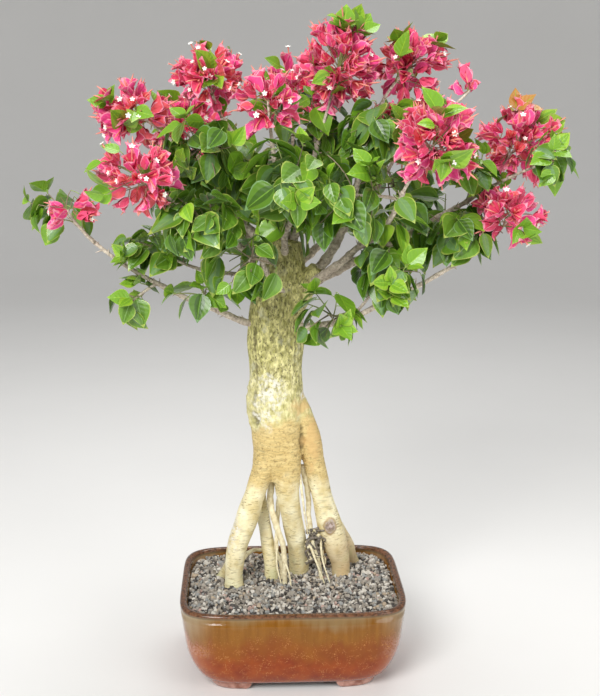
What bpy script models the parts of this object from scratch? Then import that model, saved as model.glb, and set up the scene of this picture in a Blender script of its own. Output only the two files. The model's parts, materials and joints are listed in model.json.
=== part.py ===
"""A flowering bougainvillea bonsai in a glazed rectangular pot, with its boughs and leaf masses.

Everything is worked out about the middle of the pot on the floor, in metres, with the front at -Y.
At the end the whole plant is shifted so that the origin lies under the middle of its box.
"""

import math
from collections import namedtuple
from typing import NamedTuple

import bmesh
import bpy
import numpy as np
from mathutils import noise
from mathutils.bvhtree import BVHTree

# ---------------------------------------------------------------- driving dimensions

GAP = 0.0003  # between pieces that touch
SHARP_ANGLE = 35  # degrees, over which an edge isn't shaded smooth
CUT_GAP = 0.00036  # added to a limb's radius before it cuts a neighbour
PLANT_SHIFT = (-0.0028, -0.0098, 0.0)  # from the pot's middle to the middle of the whole plant's box

POT_LENGTH = 0.254
POT_DEPTH = 0.206
POT_HEIGHT = 0.100
POT_WALL = 0.0075
POT_FLOOR = 0.008
LIP = 0.0022  # rounding of the rim
LIP_INSET = 0.0018
FOOT_HEIGHT = 0.009
FOOT_DEPTH = 0.016
FOOT_OVERLAP = 0.002  # how far the feet run up into the base
TOE_HEIGHT = 0.004
TOE_INSETS = (0.004, 0.001)  # of a foot's outer face at the floor and at the toe's height
LONG_ARCH = (0.185, 0.262)  # half widths of the space between two feet, high and low, as shares of the side
SHORT_ARCH = (0.160, 0.240)
ARCH_STEPS = 4
BASE_SHARE = 0.765  # the base's plan, as a share of the rim's
SHOULDER_SHARE = 0.965  # the plan where the straight wall turns in
SHOULDER_HEIGHT = 0.062
SHOULDER_ROUND = 1.6  # exponent of the wall's curve below the shoulder
RIM_FLARE = 0.8  # exponent of its curve above it
CORNER_SQUARE = 6.0  # exponent of the plan: 2 is an ellipse, higher is squarer
PLAN_POINTS = 28
DRAIN_RADIUS = 0.008
DRAIN_SPACING = 0.110
DRAIN_SIDES = 12
WALL_HEIGHTS = [FOOT_HEIGHT + step for step in (0.0, 0.003, 0.009, 0.019, 0.034, 0.053)]
INNER_FLOOR = FOOT_HEIGHT + POT_FLOOR

SOIL_EDGE = 0.0905
SOIL_TOP = 0.0970
SOIL_TOP_SHARE = 0.82  # the level middle of the soil, as a share of its plan
SOIL_GAP = 0.0004
SOIL_LUMP = 0.0019  # how far the gravel heaps up and sinks where no leg stands
SOIL_LUMP_PITCH = 0.024
SOIL_LUMP_SEED = 4
LEG_ROOM = 0.002  # level ground kept round a leg
INNER_HEIGHTS = [INNER_FLOOR, 0.028, 0.043, 0.062, SOIL_EDGE]

LEG_CUT = SOIL_TOP + GAP
COLUMN_SIDES = 14
LEG_SIDES = 10
STATION_STEPS = 4  # of the smooth line between two stations
TRUNK_VOXEL = 0.0034
TRUNK_SOFTENING = 4
TRUNK_TRIANGLES = 1450
BARK_LUMP = 0.0016
BARK_LUMP_SIZE = 0.030

LEAF_SIZES = {"foliage": (0.050, 0.039), "blossom": (0.042, 0.034)}  # length and width
LEAVES_PER_TWIG = {"foliage": 4, "blossom": 3}
LEAF_THICK = 0.0013
TEST_THICK = 0.0025  # of the thicker blade that tells whether two leaves cross
LEAF_BELLY = 0.44  # where the blade is widest, from its root
FULL_SIZE_MASS = 0.050  # a mass with a smaller least radius has smaller leaves
SMALLEST_SHARE = 0.72
SIZE_SPREAD = (0.88, 1.06)
LEAF_SPACING = 0.0045  # between the roots of one twig's leaves, which lie in the middle of the twig
LEAF_STAGGER = 0.2  # the same along a long leafy twig, as a share of its length
LEAF_TRIES = 16  # poses tried for a leaf before it is left out
TURN_ON = 1.3  # radians round the twig from one try to the next
BRACT_LEAN = (56, 72)  # degrees between a bract and its twig
STEM_RADIUS = 0.0017
STEM_TAPER = 0.6
STEM_SPACING = 0.0095  # between the stems that one bough carries
STEM_BARE = 0.26  # share of the stem below its first twig
STEM_END = 0.985
TWIG_RADIUS = 0.0010
TWIG_SPACING = 0.0036  # between twigs along their stem
TWIG_DROP = 0.55  # how far below its end's height on the stem a twig starts, as a share of its way out
SPARE_TWIGS = 2.6  # directions tried for each twig a mass needs
WAY_NOISE = 0.12
# How far out a twig ends, as shares of the furthest, each with the fewest leaves that earn the twig.
PULLS = ((1.0, 3), (0.86, 3), (0.72, 3), (0.58, 2), (0.44, 2))
END_SHORT = 0.62  # a twig ends this share of a leaf's length inside its mass's border
END_NEAREST = 0.12  # but no nearer the middle than this share of the mass's radius
CELL_MARGIN = 0.0016  # kept to the border of a neighbouring mass
LIMB_CLEAR = 0.0009  # kept between a leaf and any limb
GOLDEN_ANGLE = math.pi * (3.0 - math.sqrt(5.0))
FIRST_SEED = 11

# ---------------------------------------------------------------- the plan of the limbs

# The trunk's middle and half width, by height.
Station = namedtuple("Station", "z x y radius")

TRUNK = (
    Station(0.215, -0.016, 0.012, 0.017),
    Station(0.240, -0.015, 0.013, 0.026),
    Station(0.268, -0.015, 0.013, 0.030),
    Station(0.300, -0.015, 0.013, 0.0305),
    Station(0.335, -0.017, 0.013, 0.0300),
    Station(0.379, -0.017, 0.013, 0.0320),
    Station(0.408, -0.018, 0.013, 0.0295),
    Station(0.437, -0.013, 0.013, 0.0267),
    Station(0.468, -0.008, 0.012, 0.0250),
    Station(0.492, -0.004, 0.012, 0.0180),
)
TRUNK_FLAT = 0.90  # the trunk's depth as a share of its width

# Root legs: stations from where each leaves the trunk down to the soil.
LEGS = {
    "left": (
        Station(0.262, -0.021, 0.008, 0.015),
        Station(0.238, -0.031, 0.000, 0.0125),
        Station(0.206, -0.041, -0.006, 0.0122),
        Station(0.174, -0.052, -0.008, 0.0130),
        Station(0.141, -0.062, -0.009, 0.0115),
        Station(0.110, -0.066, -0.009, 0.0108),
        Station(0.088, -0.067, -0.009, 0.0130),
    ),
    "back": (
        Station(0.250, -0.030, 0.026, 0.013),
        Station(0.206, -0.036, 0.030, 0.0085),
        Station(0.177, -0.034, 0.028, 0.0075),
        Station(0.146, -0.029, 0.020, 0.0078),
        Station(0.115, -0.024, 0.013, 0.0080),
        Station(0.088, -0.023, 0.010, 0.0090),
    ),
    "middle": (
        Station(0.262, -0.006, 0.006, 0.018),
        Station(0.231, -0.004, 0.004, 0.0155),
        Station(0.202, -0.004, 0.006, 0.0138),
        Station(0.165, 0.002, 0.014, 0.0122),
        Station(0.128, 0.008, 0.022, 0.0112),
        Station(0.088, 0.010, 0.028, 0.0120),
    ),
    "right": (
        Station(0.318, -0.002, 0.013, 0.0140),
        Station(0.292, 0.0105, 0.013, 0.0145),
        Station(0.262, 0.0205, 0.014, 0.0138),
        Station(0.233, 0.027, 0.015, 0.0128),
        Station(0.198, 0.035, 0.016, 0.0120),
        Station(0.164, 0.043, 0.017, 0.0145),
        Station(0.135, 0.052, 0.018, 0.0148),
        Station(0.111, 0.058, 0.019, 0.0110),
        Station(0.088, 0.059, 0.020, 0.0110),
    ),
    "right_toe": (
        Station(0.158, 0.047, 0.022, 0.012),
        Station(0.128, 0.064, 0.038, 0.0105),
        Station(0.104, 0.072, 0.052, 0.0090),
        Station(0.088, 0.077, 0.060, 0.0095),
    ),
    "left_toe": (
        Station(0.122, -0.066, -0.004, 0.009),
        Station(0.104, -0.075, 0.012, 0.0075),
        Station(0.088, -0.082, 0.024, 0.0080),
    ),
}

# Sawn stubs on the top of the trunk: lower end, upper end, radius there.
STUBS = {
    "stub_left": ((-0.030, 0.012, 0.425), (-0.050, 0.004, 0.476), 0.0115, 0.0075),
    "stub_right": ((-0.004, 0.010, 0.412), (0.031, 0.002, 0.462), 0.0165, 0.0110),
}

# Thin roots that hang under the trunk's crotch and stand in the soil.
AERIAL_ROOTS = {
    "aerial_root_left": (
        (-0.020, 0.016, 0.226), (-0.024, 0.010, 0.192), (-0.020, 0.002, 0.172),
        (-0.012, -0.006, 0.150), (-0.008, -0.009, 0.122), (-0.008, -0.009, SOIL_TOP),
    ),
    "aerial_root_middle": (
        (-0.010, 0.024, 0.222), (-0.014, 0.020, 0.185), (-0.016, 0.012, 0.152),
        (-0.017, 0.008, 0.132), (-0.012, 0.007, 0.114), (-0.010, 0.007, SOIL_TOP),
    ),
    "aerial_root_right": (
        (0.012, 0.014, 0.232), (0.020, 0.018, 0.197), (0.021, 0.017, 0.171),
        (0.025, 0.010, 0.140), (0.031, 0.004, 0.118), (0.035, 0.002, SOIL_TOP),
    ),
    "cross_root": ((-0.060, 0.006, 0.117), (-0.046, 0.024, 0.124), (-0.027, 0.022, 0.126)),
}
AERIAL_RADIUS = 0.0026
AERIAL_TAPER = 0.25


class Bough(NamedTuple):
    """A limb from inside its parent to its tip.

    It starts at a height on the trunk, or a share of the parent's length, moved aside by the offset.
    rise and level are its slopes in degrees at the two ends, thick and thin its radii there.
    """

    place: str
    parent: str
    at: float
    offset: tuple
    tip: tuple
    rise: float
    level: float
    thick: float
    thin: float

    @property
    def name(self):
        return "bough_" + self.place


BOUGHS = (
    Bough("low_left_inner", "trunk", 0.386, (0, 0), (-0.082, -0.004, 0.417), 28, 30, 0.0052, 0.0038),
    Bough("low_left_middle", "low_left_inner", 1.0, (0, 0), (-0.154, -0.008, 0.452), 18, 28, 0.0036, 0.0030),
    Bough("low_left_outer", "low_left_middle", 1.0, (0, 0), (-0.211, -0.015, 0.493), 30, 42, 0.0028, 0.0021),
    Bough("left_thin", "trunk", 0.446, (0, -0.004), (-0.094, -0.004, 0.461), 20, 2, 0.0034, 0.0022),
    Bough("left_front", "trunk", 0.462, (-0.004, -0.004), (-0.078, -0.050, 0.510), 38, 42, 0.0062, 0.0028),
    Bough("left_rear", "trunk", 0.466, (-0.004, 0.006), (-0.118, 0.004, 0.590), 50, 52, 0.0066, 0.0026),
    Bough("upper_left", "trunk", 0.478, (-0.006, 0.002), (-0.073, -0.010, 0.625), 66, 60, 0.0060, 0.0026),
    Bough("upper_middle", "trunk", 0.480, (0, 0), (-0.021, -0.036, 0.602), 80, 70, 0.0056, 0.0026),
    Bough("front_middle", "trunk", 0.470, (0, -0.004), (-0.003, -0.066, 0.536), 48, 50, 0.0052, 0.0028),
    Bough("top", "trunk", 0.480, (0.006, 0.004), (0.030, -0.002, 0.600), 78, 74, 0.0068, 0.0028),
    Bough("upper_right", "stub_right", 0.80, (0, 0.004), (0.094, 0.014, 0.630), 46, 72, 0.0070, 0.0028),
    Bough("right_front", "stub_right", 0.60, (0, -0.002), (0.112, -0.080, 0.552), 34, 70, 0.0058, 0.0028),
    Bough("right", "stub_right", 0.62, (0, 0.002), (0.206, -0.012, 0.546), 26, 34, 0.0064, 0.0026),
    Bough("low_right_inner", "trunk", 0.390, (0, 0), (0.070, -0.050, 0.418), 12, 20, 0.0054, 0.0040),
    Bough("low_right_outer", "low_right_inner", 1.0, (0, 0), (0.192, -0.034, 0.478), 16, 24, 0.0036, 0.0024),
    Bough("front", "trunk", 0.424, (0.014, -0.010), (-0.034, -0.044, 0.480), 46, 50, 0.0044, 0.0026),
    Bough("right_spur", "upper_right", 0.62, (0, 0), (0.164, -0.020, 0.630), 40, 48, 0.0034, 0.0024),
    Bough("back_left", "trunk", 0.456, (-0.002, 0.006), (-0.095, 0.098, 0.560), 40, 50, 0.0062, 0.0028),
    Bough("back_middle", "trunk", 0.468, (0.002, 0.006), (0.006, 0.112, 0.585), 52, 50, 0.0062, 0.0028),
    Bough("back_right", "trunk", 0.448, (0.002, 0.006), (0.115, 0.092, 0.560), 36, 52, 0.0064, 0.0028),
)
LIMB_SIDES = 5
LIMB_STEP = 0.026  # length of one stretch of a bough
LIMB_WANDER = 0.0022
LIMB_TAPER = 0.8  # exponent: under 1, a limb thins sooner
SAMPLE_STEP = 0.003
STEM_LEAD_TIP = 0.30  # how far a stem runs on in its bough's direction before it bends
STEM_LEAD_SIDE = 0.08
STEM_POINTS = 4


class Mass(NamedTuple):
    """Leaves or blossom on one stem, which keep to an ellipsoid and to their side of any border."""

    kind: str
    place: str
    bough: str
    middle: tuple
    radii: tuple
    leaves: int

    @property
    def name(self):
        return f"{self.kind}_{self.place}"


MASSES = (
    Mass("blossom", "left_tip", "low_left_outer", (-0.236, -0.036, 0.531), (0.030, 0.030, 0.027), 6),
    Mass("foliage", "left_tip", "low_left_outer", (-0.248, 0.008, 0.525), (0.052, 0.040, 0.040), 7),
    Mass("foliage", "low_left", "low_left_inner", (-0.096, -0.032, 0.438), (0.046, 0.038, 0.031), 7),
    Mass("foliage", "low_left_drop", "low_left_middle", (-0.172, -0.014, 0.430), (0.032, 0.032, 0.040), 6),
    Mass("foliage", "left_low", "left_thin", (-0.146, -0.020, 0.488), (0.052, 0.044, 0.032), 10),
    Mass("foliage", "left", "left_front", (-0.094, -0.086, 0.524), (0.058, 0.056, 0.044), 12),
    Mass("blossom", "left_low", "left_front", (-0.156, -0.094, 0.569), (0.056, 0.048, 0.038), 14),
    Mass("blossom", "left_high", "left_rear", (-0.168, 0.006, 0.630), (0.048, 0.050, 0.036), 13),
    Mass("foliage", "upper_left", "left_rear", (-0.090, -0.046, 0.596), (0.056, 0.056, 0.050), 14),
    Mass("blossom", "upper_left", "upper_left", (-0.087, -0.008, 0.667), (0.046, 0.050, 0.040), 14),
    Mass("blossom", "upper_middle", "upper_middle", (-0.025, -0.036, 0.642), (0.040, 0.042, 0.038), 11),
    Mass("foliage", "front_middle", "front_middle", (-0.008, -0.112, 0.560), (0.058, 0.052, 0.066), 15),
    Mass("blossom", "top", "top", (0.052, -0.006, 0.681), (0.049, 0.052, 0.056), 17),
    Mass("foliage", "top", "top", (0.024, 0.024, 0.618), (0.062, 0.056, 0.052), 10),
    Mass("blossom", "upper_right", "upper_right", (0.131, 0.022, 0.678), (0.052, 0.050, 0.042), 13),
    Mass("foliage", "upper_right", "upper_right", (0.094, -0.040, 0.616), (0.056, 0.052, 0.044), 11),
    Mass("blossom", "right_spur", "right_spur", (0.190, -0.012, 0.653), (0.024, 0.024, 0.024), 3),
    Mass("blossom", "right_front", "right_front", (0.139, -0.108, 0.603), (0.052, 0.050, 0.050), 16),
    Mass("foliage", "right_front", "right_front", (0.050, -0.102, 0.550), (0.046, 0.048, 0.074), 13),
    Mass("blossom", "right", "right", (0.250, 0.006, 0.598), (0.050, 0.050, 0.050), 14),
    Mass("foliage", "right_tip", "right", (0.268, -0.048, 0.580), (0.038, 0.034, 0.038), 7),
    Mass("foliage", "right_upper", "right", (0.192, -0.032, 0.566), (0.044, 0.044, 0.040), 7),
    Mass("blossom", "low_right", "low_right_outer", (0.230, -0.056, 0.526), (0.047, 0.042, 0.032), 11),
    Mass("foliage", "right", "low_right_outer", (0.174, -0.034, 0.505), (0.060, 0.052, 0.040), 12),
    Mass("foliage", "low_right", "low_right_inner", (0.098, -0.074, 0.470), (0.050, 0.048, 0.048), 11),
    Mass("foliage", "low_middle", "low_right_inner", (0.036, -0.074, 0.424), (0.044, 0.038, 0.042), 8),
    Mass("foliage", "front", "front", (-0.046, -0.084, 0.482), (0.048, 0.042, 0.046), 10),
    Mass("blossom", "back_left", "back_left", (-0.118, 0.118, 0.612), (0.056, 0.052, 0.044), 11),
    Mass("foliage", "back_left", "back_left", (-0.112, 0.116, 0.538), (0.070, 0.062, 0.056), 13),
    Mass("blossom", "back_middle", "back_middle", (0.010, 0.116, 0.652), (0.056, 0.050, 0.046), 11),
    Mass("foliage", "back_middle", "back_middle", (0.008, 0.124, 0.560), (0.064, 0.060, 0.066), 13),
    Mass("blossom", "back_right", "back_right", (0.140, 0.108, 0.612), (0.056, 0.052, 0.044), 11),
    Mass("foliage", "back_right", "back_right", (0.134, 0.106, 0.536), (0.072, 0.062, 0.058), 13),
)

# ---------------------------------------------------------------- materials


def material(name, colour, roughness, coat=0.0):
    made = bpy.data.materials.new(name)
    made.use_nodes = True
    made.diffuse_color = (*colour, 1.0)
    shader = made.node_tree.nodes["Principled BSDF"]
    shader.inputs["Base Color"].default_value = (*colour, 1.0)
    shader.inputs["Roughness"].default_value = roughness
    shader.inputs["Metallic"].default_value = 0.0
    shader.inputs["Coat Weight"].default_value = coat
    return made


# ---------------------------------------------------------------- mesh helpers


def mesh_of(name, points, faces):
    """A mesh whose faces all point outwards."""
    mesh = bpy.data.meshes.new(name)
    mesh.from_pydata([tuple(map(float, point)) for point in points], [], faces)
    turn_out(mesh)
    return mesh


def turn_out(mesh):
    shape = bmesh.new()
    shape.from_mesh(mesh)
    bmesh.ops.recalc_face_normals(shape, faces=shape.faces[:])
    shape.to_mesh(mesh)
    shape.free()
    mesh.update()


def add_object(name, mesh, finish=None):
    made = bpy.data.objects.new(name, mesh)
    bpy.context.scene.collection.objects.link(made)
    if finish:
        finish_with(made, finish)
    return made


def finish_with(made, finish):
    made.data.materials.clear()
    made.data.materials.append(finish)


def discard(made):
    mesh = made.data
    bpy.data.objects.remove(made)
    if mesh.users == 0:
        bpy.data.meshes.remove(mesh)


def apply_modifiers(made):
    """Replaces the object's mesh by the one its modifiers make."""
    graph = bpy.context.evaluated_depsgraph_get()
    plain = made.data
    finished = bpy.data.meshes.new_from_object(made.evaluated_get(graph))
    made.modifiers.clear()
    made.data = finished
    finished.name = made.name
    bpy.data.meshes.remove(plain)


def subtract(made, cutter, solver="EXACT"):
    cut = made.modifiers.new("cut", "BOOLEAN")
    cut.operation = "DIFFERENCE"
    cut.object = cutter
    cut.solver = solver
    apply_modifiers(made)


def keep_main_body(made):
    """Drops loose scraps and fills sealed hollows: only the largest closed surface stays."""
    shape = bmesh.new()
    shape.from_mesh(made.data)
    unseen = set(shape.verts)
    groups = []
    while unseen:
        stack = [unseen.pop()]
        group = list(stack)
        while stack:
            for edge in stack.pop().link_edges:
                for vert in edge.verts:
                    if vert in unseen:
                        unseen.remove(vert)
                        stack.append(vert)
                        group.append(vert)
        groups.append(group)
    groups.sort(key=extent_of, reverse=True)
    for group in groups[1:]:
        bmesh.ops.delete(shape, geom=group, context="VERTS")
    shape.to_mesh(made.data)
    shape.free()


def extent_of(group):
    places = np.array([vert.co for vert in group])
    return float(np.ptp(places, axis=0).sum())


# ---------------------------------------------------------------- paths and tubes


def unit(vector):
    return vector / np.linalg.norm(vector)


def frames_along(path):
    """Two directions square to the path at each of its points, turned as little as possible."""
    tangents = np.gradient(path, axis=0)
    tangents /= np.linalg.norm(tangents, axis=1)[:, None]
    guide = np.array([1.0, 0.0, 0.0]) if abs(tangents[0][0]) < 0.8 else np.array([0.0, 1.0, 0.0])
    across = []
    for tangent in tangents:
        guide = unit(guide - tangent * guide.dot(tangent))
        across.append(guide)
    across = np.array(across)
    return across, np.cross(tangents, across)


def tube(path, radii, sides, flat=1.0):
    """Points and faces of a closed tube of polygonal section round the path."""
    path = np.asarray(path, float)
    across, up = frames_along(path)
    angles = np.arange(sides) * 2.0 * math.pi / sides
    rings = [
        path[i] + radii[i] * (math.cos(a) * across[i] + flat * math.sin(a) * up[i])
        for i in range(len(path))
        for a in angles
    ]
    faces = [tuple(range(sides))[::-1]]
    for i in range(len(path) - 1):
        for j in range(sides):
            k = (j + 1) % sides
            faces.append((i * sides + j, i * sides + k, (i + 1) * sides + k, (i + 1) * sides + j))
    faces.append(tuple(range((len(path) - 1) * sides, len(path) * sides)))
    return rings, faces


def smooth_path(stops, steps):
    """Catmull-Rom through the stops; each stop may carry more than a place."""
    stops = np.asarray(stops, float)
    padded = np.vstack([2 * stops[0] - stops[1], stops, 2 * stops[-1] - stops[-2]])
    found = []
    for i in range(len(stops) - 1):
        a, b, c, d = padded[i : i + 4]
        for t in np.linspace(0.0, 1.0, steps, endpoint=False):
            found.append(
                0.5 * (2 * b + (c - a) * t + (2 * a - 5 * b + 4 * c - d) * t**2)
                + 0.5 * (3 * b - a - 3 * c + d) * t**3
            )
    found.append(stops[-1])
    return np.array(found)


def slope(flat, degrees):
    angle = math.radians(degrees)
    return flat * math.cos(angle) + np.array([0.0, 0.0, math.sin(angle)])


def bough_path(start, tip, rise, level, seed):
    """A bent limb from start to tip, leaving at the slope rise and arriving at the slope level."""
    start = np.asarray(start, float)
    tip = np.asarray(tip, float)
    reach = np.linalg.norm(tip - start)
    flat = unit((tip - start) * (1.0, 1.0, 0.0))
    leaving = slope(flat, rise) * reach
    arriving = slope(flat, level) * reach
    count = max(4, int(round(reach / LIMB_STEP)) + 1)
    rng = np.random.default_rng(seed)
    path = []
    for t in np.linspace(0.0, 1.0, count):
        place = (
            (2 * t**3 - 3 * t**2 + 1) * start
            + (t**3 - 2 * t**2 + t) * leaving
            + (3 * t**2 - 2 * t**3) * tip
            + (t**3 - t**2) * arriving
        )
        path.append(place + rng.normal(size=3) * LIMB_WANDER * math.sin(math.pi * t))
    return np.array(path)


# ---------------------------------------------------------------- pot and soil


def plan_ring(half_length, half_depth, height):
    """One ring of the pot's plan, a rectangle with round corners."""
    ring = []
    for i in range(PLAN_POINTS):
        angle = 2.0 * math.pi * (i + 0.5) / PLAN_POINTS
        c, s = math.cos(angle), math.sin(angle)
        x = half_length * math.copysign(abs(c) ** (2.0 / CORNER_SQUARE), c)
        y = half_depth * math.copysign(abs(s) ** (2.0 / CORNER_SQUARE), s)
        ring.append((x, y, height))
    return ring


def wall_share(height):
    """The outside wall's plan at a height, as a share of the rim's."""
    if height >= SHOULDER_HEIGHT:
        up = (height - SHOULDER_HEIGHT) / (POT_HEIGHT - SHOULDER_HEIGHT)
        return SHOULDER_SHARE + (1.0 - SHOULDER_SHARE) * up**RIM_FLARE
    down = (SHOULDER_HEIGHT - height) / (SHOULDER_HEIGHT - FOOT_HEIGHT)
    bulge = (1.0 - down**SHOULDER_ROUND) ** (1.0 / SHOULDER_ROUND)
    return BASE_SHARE + (SHOULDER_SHARE - BASE_SHARE) * bulge


def wall_ring(height, inset, lift=0.0):
    share = wall_share(height)
    return plan_ring(POT_LENGTH / 2 * share - inset, POT_DEPTH / 2 * share - inset, height + lift)


def loft(rings):
    """Points and faces of a closed solid through rings of equal counts."""
    count = len(rings[0])
    points = [point for ring in rings for point in ring]
    faces = [tuple(range(count))[::-1]]
    for i in range(len(rings) - 1):
        for j in range(count):
            k = (j + 1) % count
            faces.append((i * count + j, i * count + k, (i + 1) * count + k, (i + 1) * count + j))
    faces.append(tuple(range((len(rings) - 1) * count, len(rings) * count)))
    return points, faces


def pot_rings():
    """From the base up the outside, over the rim and down the inside."""
    outside = [wall_ring(height, 0.0) for height in WALL_HEIGHTS]
    rim = [
        wall_ring(POT_HEIGHT - LIP, 0.0),
        wall_ring(POT_HEIGHT, LIP_INSET),
        wall_ring(POT_HEIGHT, POT_WALL - LIP_INSET),
        wall_ring(POT_HEIGHT - LIP, POT_WALL),
    ]
    inside = [wall_ring(height, POT_WALL) for height in reversed(INNER_HEIGHTS)]
    return outside + rim + inside


def foot_ring():
    """The low wall under the base from which the four feet are cut."""
    top = FOOT_HEIGHT + FOOT_OVERLAP
    profile = (
        (TOE_INSETS[0], 0.0),
        (TOE_INSETS[1], TOE_HEIGHT),
        (0.0, top),
        (FOOT_DEPTH, top),
        (FOOT_DEPTH, 0.0),
    )
    half_length = POT_LENGTH / 2 * BASE_SHARE
    half_depth = POT_DEPTH / 2 * BASE_SHARE
    rings = [plan_ring(half_length - inset, half_depth - inset, height) for inset, height in profile]
    count = PLAN_POINTS
    points = [point for ring in rings for point in ring]
    faces = []
    for i in range(len(rings)):
        n = (i + 1) % len(rings)
        for j in range(count):
            k = (j + 1) % count
            faces.append((i * count + j, i * count + k, n * count + k, n * count + j))
    return points, faces


def arch_cutter(name, side, shares, along_x):
    """A long bar of scalloped section that opens the space between two feet."""
    half_high, half_low = (side * share for share in shares)
    section = []
    for angle in np.linspace(0.0, math.pi / 2, ARCH_STEPS + 1):
        reach = half_low + (half_high - half_low) * math.sin(angle)
        section.append((reach, FOOT_HEIGHT * (1.0 - math.cos(angle)) - FOOT_OVERLAP * math.cos(angle)))
    section = section + [(-reach, z) for reach, z in reversed(section)]
    rings = []
    for end in (-POT_LENGTH, POT_LENGTH):
        rings.append([(end, s, z) if along_x else (s, end, z) for s, z in section])
    return add_object(name, mesh_of(name, *loft(rings)))


def pot(finish):
    body = add_object("pot", mesh_of("pot", *loft(pot_rings())), finish)
    feet = add_object("feet", mesh_of("feet", *foot_ring()))
    for cutter in (
        arch_cutter("long_arch", POT_LENGTH, LONG_ARCH, False),
        arch_cutter("short_arch", POT_DEPTH, SHORT_ARCH, True),
    ):
        subtract(feet, cutter)
        discard(cutter)
    join = body.modifiers.new("feet", "BOOLEAN")
    join.operation = "UNION"
    join.object = feet
    apply_modifiers(body)
    discard(feet)
    for side in (-1, 1):
        x = side * DRAIN_SPACING / 2
        hole = [(x, 0.0, 0.0), (x, 0.0, INNER_FLOOR + POT_FLOOR)]
        cutter = limb_object("drain", hole, (DRAIN_RADIUS, DRAIN_RADIUS), DRAIN_SIDES)
        subtract(body, cutter)
        discard(cutter)
    return body


def leg_feet():
    """Where each leg and hanging root stands on the gravel, and its radius there."""
    feet = [stations[-1][1:] for stations in LEGS.values()]
    feet += [(*stops[-1][:2], AERIAL_RADIUS) for stops in AERIAL_ROOTS.values()]
    return feet


def heap_up(made):
    """Cuts the gravel's level top into squares and lifts or sinks the corners that no leg stands by."""
    shape = bmesh.new()
    shape.from_mesh(made.data)
    pitch = SOIL_LUMP_PITCH
    for axis, reach in enumerate((POT_LENGTH / 2, POT_DEPTH / 2)):
        for place in np.arange(pitch / 2 - pitch * int(reach / pitch), reach, pitch):
            top = [face for face in shape.faces if min(vert.co.z for vert in face.verts) > SOIL_TOP - GAP]
            edges = {edge for face in top for edge in face.edges}
            verts = {vert for face in top for vert in face.verts}
            middle = [0.0, 0.0, 0.0]
            normal = [0.0, 0.0, 0.0]
            middle[axis], normal[axis] = place, 1.0
            bmesh.ops.bisect_plane(shape, geom=[*top, *edges, *verts], plane_co=middle, plane_no=normal)
    rng = np.random.default_rng(SOIL_LUMP_SEED)
    corners = [vert for vert in shape.verts if vert.co.z > SOIL_TOP - GAP]
    for vert in sorted(corners, key=lambda vert: tuple(vert.co)):
        lump = SOIL_LUMP * rng.uniform(-1.0, 1.0)
        if not any(stands_by(vert.co, foot, pitch) for foot in leg_feet()):
            vert.co.z += lump
    bmesh.ops.triangulate(shape, faces=shape.faces[:])
    shape.to_mesh(made.data)
    shape.free()


def stands_by(corner, foot, pitch):
    """Whether the foot reaches into any of the four squares that meet at the corner."""
    x, y, radius = foot
    off = math.hypot(max(abs(x - corner.x) - pitch, 0.0), max(abs(y - corner.y) - pitch, 0.0))
    return off < radius + LEG_ROOM


def soil(finish):
    """The gravel that fills the pot: level under the legs, heaped a little elsewhere, lower at the wall."""
    inset = POT_WALL + SOIL_GAP
    rings = [wall_ring(height, inset, GAP if height == INNER_FLOOR else 0.0) for height in INNER_HEIGHTS]
    share = wall_share(SOIL_EDGE)
    half_length = POT_LENGTH / 2 * share - inset
    half_depth = POT_DEPTH / 2 * share - inset
    rings.append(plan_ring(half_length * SOIL_TOP_SHARE, half_depth * SOIL_TOP_SHARE, SOIL_TOP))
    made = add_object("gravel_soil", mesh_of("gravel_soil", *loft(rings)), finish)
    heap_up(made)
    return made


# ---------------------------------------------------------------- trunk, legs and thin roots


def limb_object(name, stops, radii, sides, flat=1.0):
    return add_object(name, mesh_of(name, *tube(stops, radii, sides, flat)))


def station_tube(name, stations, sides, flat=1.0):
    smooth = smooth_path([(s.x, s.y, s.z, s.radius) for s in stations], STATION_STEPS)
    return limb_object(name, smooth[:, :3], smooth[:, 3], sides, flat)


def lumpy(made, size, height):
    """Moves the surface in and out by smooth noise."""
    mesh = made.data
    normals = [vert.normal.copy() for vert in mesh.vertices]
    for vert, normal in zip(mesh.vertices, normals):
        vert.co += normal * height * noise.noise(vert.co / size)


def trunk(finish):
    """Column, root legs and sawn stubs run together into one body, cut flat at the soil."""
    pieces = [station_tube("column", TRUNK, COLUMN_SIDES, TRUNK_FLAT)]
    pieces += [station_tube(name, stations, LEG_SIDES) for name, stations in LEGS.items()]
    for name, (low, high, low_radius, high_radius) in STUBS.items():
        pieces.append(limb_object(name, (low, high), (low_radius, high_radius), LEG_SIDES))
    shape = bmesh.new()
    for piece in pieces:
        shape.from_mesh(piece.data)
        discard(piece)
    mesh = bpy.data.meshes.new("trunk")
    shape.to_mesh(mesh)
    shape.free()
    body = add_object("trunk", mesh, finish)
    fuse = body.modifiers.new("fuse", "REMESH")
    fuse.mode = "VOXEL"
    fuse.voxel_size = TRUNK_VOXEL
    soften = body.modifiers.new("soften", "SMOOTH")
    soften.factor = 0.5
    soften.iterations = TRUNK_SOFTENING
    apply_modifiers(body)
    lumpy(body, BARK_LUMP_SIZE, BARK_LUMP)
    thin_out = body.modifiers.new("thin out", "DECIMATE")
    thin_out.ratio = TRUNK_TRIANGLES / (2.0 * len(body.data.polygons))
    thin_out.use_collapse_triangulate = True
    apply_modifiers(body)
    cut_at_soil(body)
    keep_main_body(body)
    turn_out(body.data)
    finish_with(body, finish)
    return body


def cut_at_soil(made):
    """Takes off all that lies below the level of the soil's top."""
    block = [plan_ring(POT_LENGTH, POT_LENGTH, height) for height in (0.0, LEG_CUT)]
    ground = add_object("ground", mesh_of("ground", *loft(block)))
    subtract(made, ground)
    discard(ground)


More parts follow.
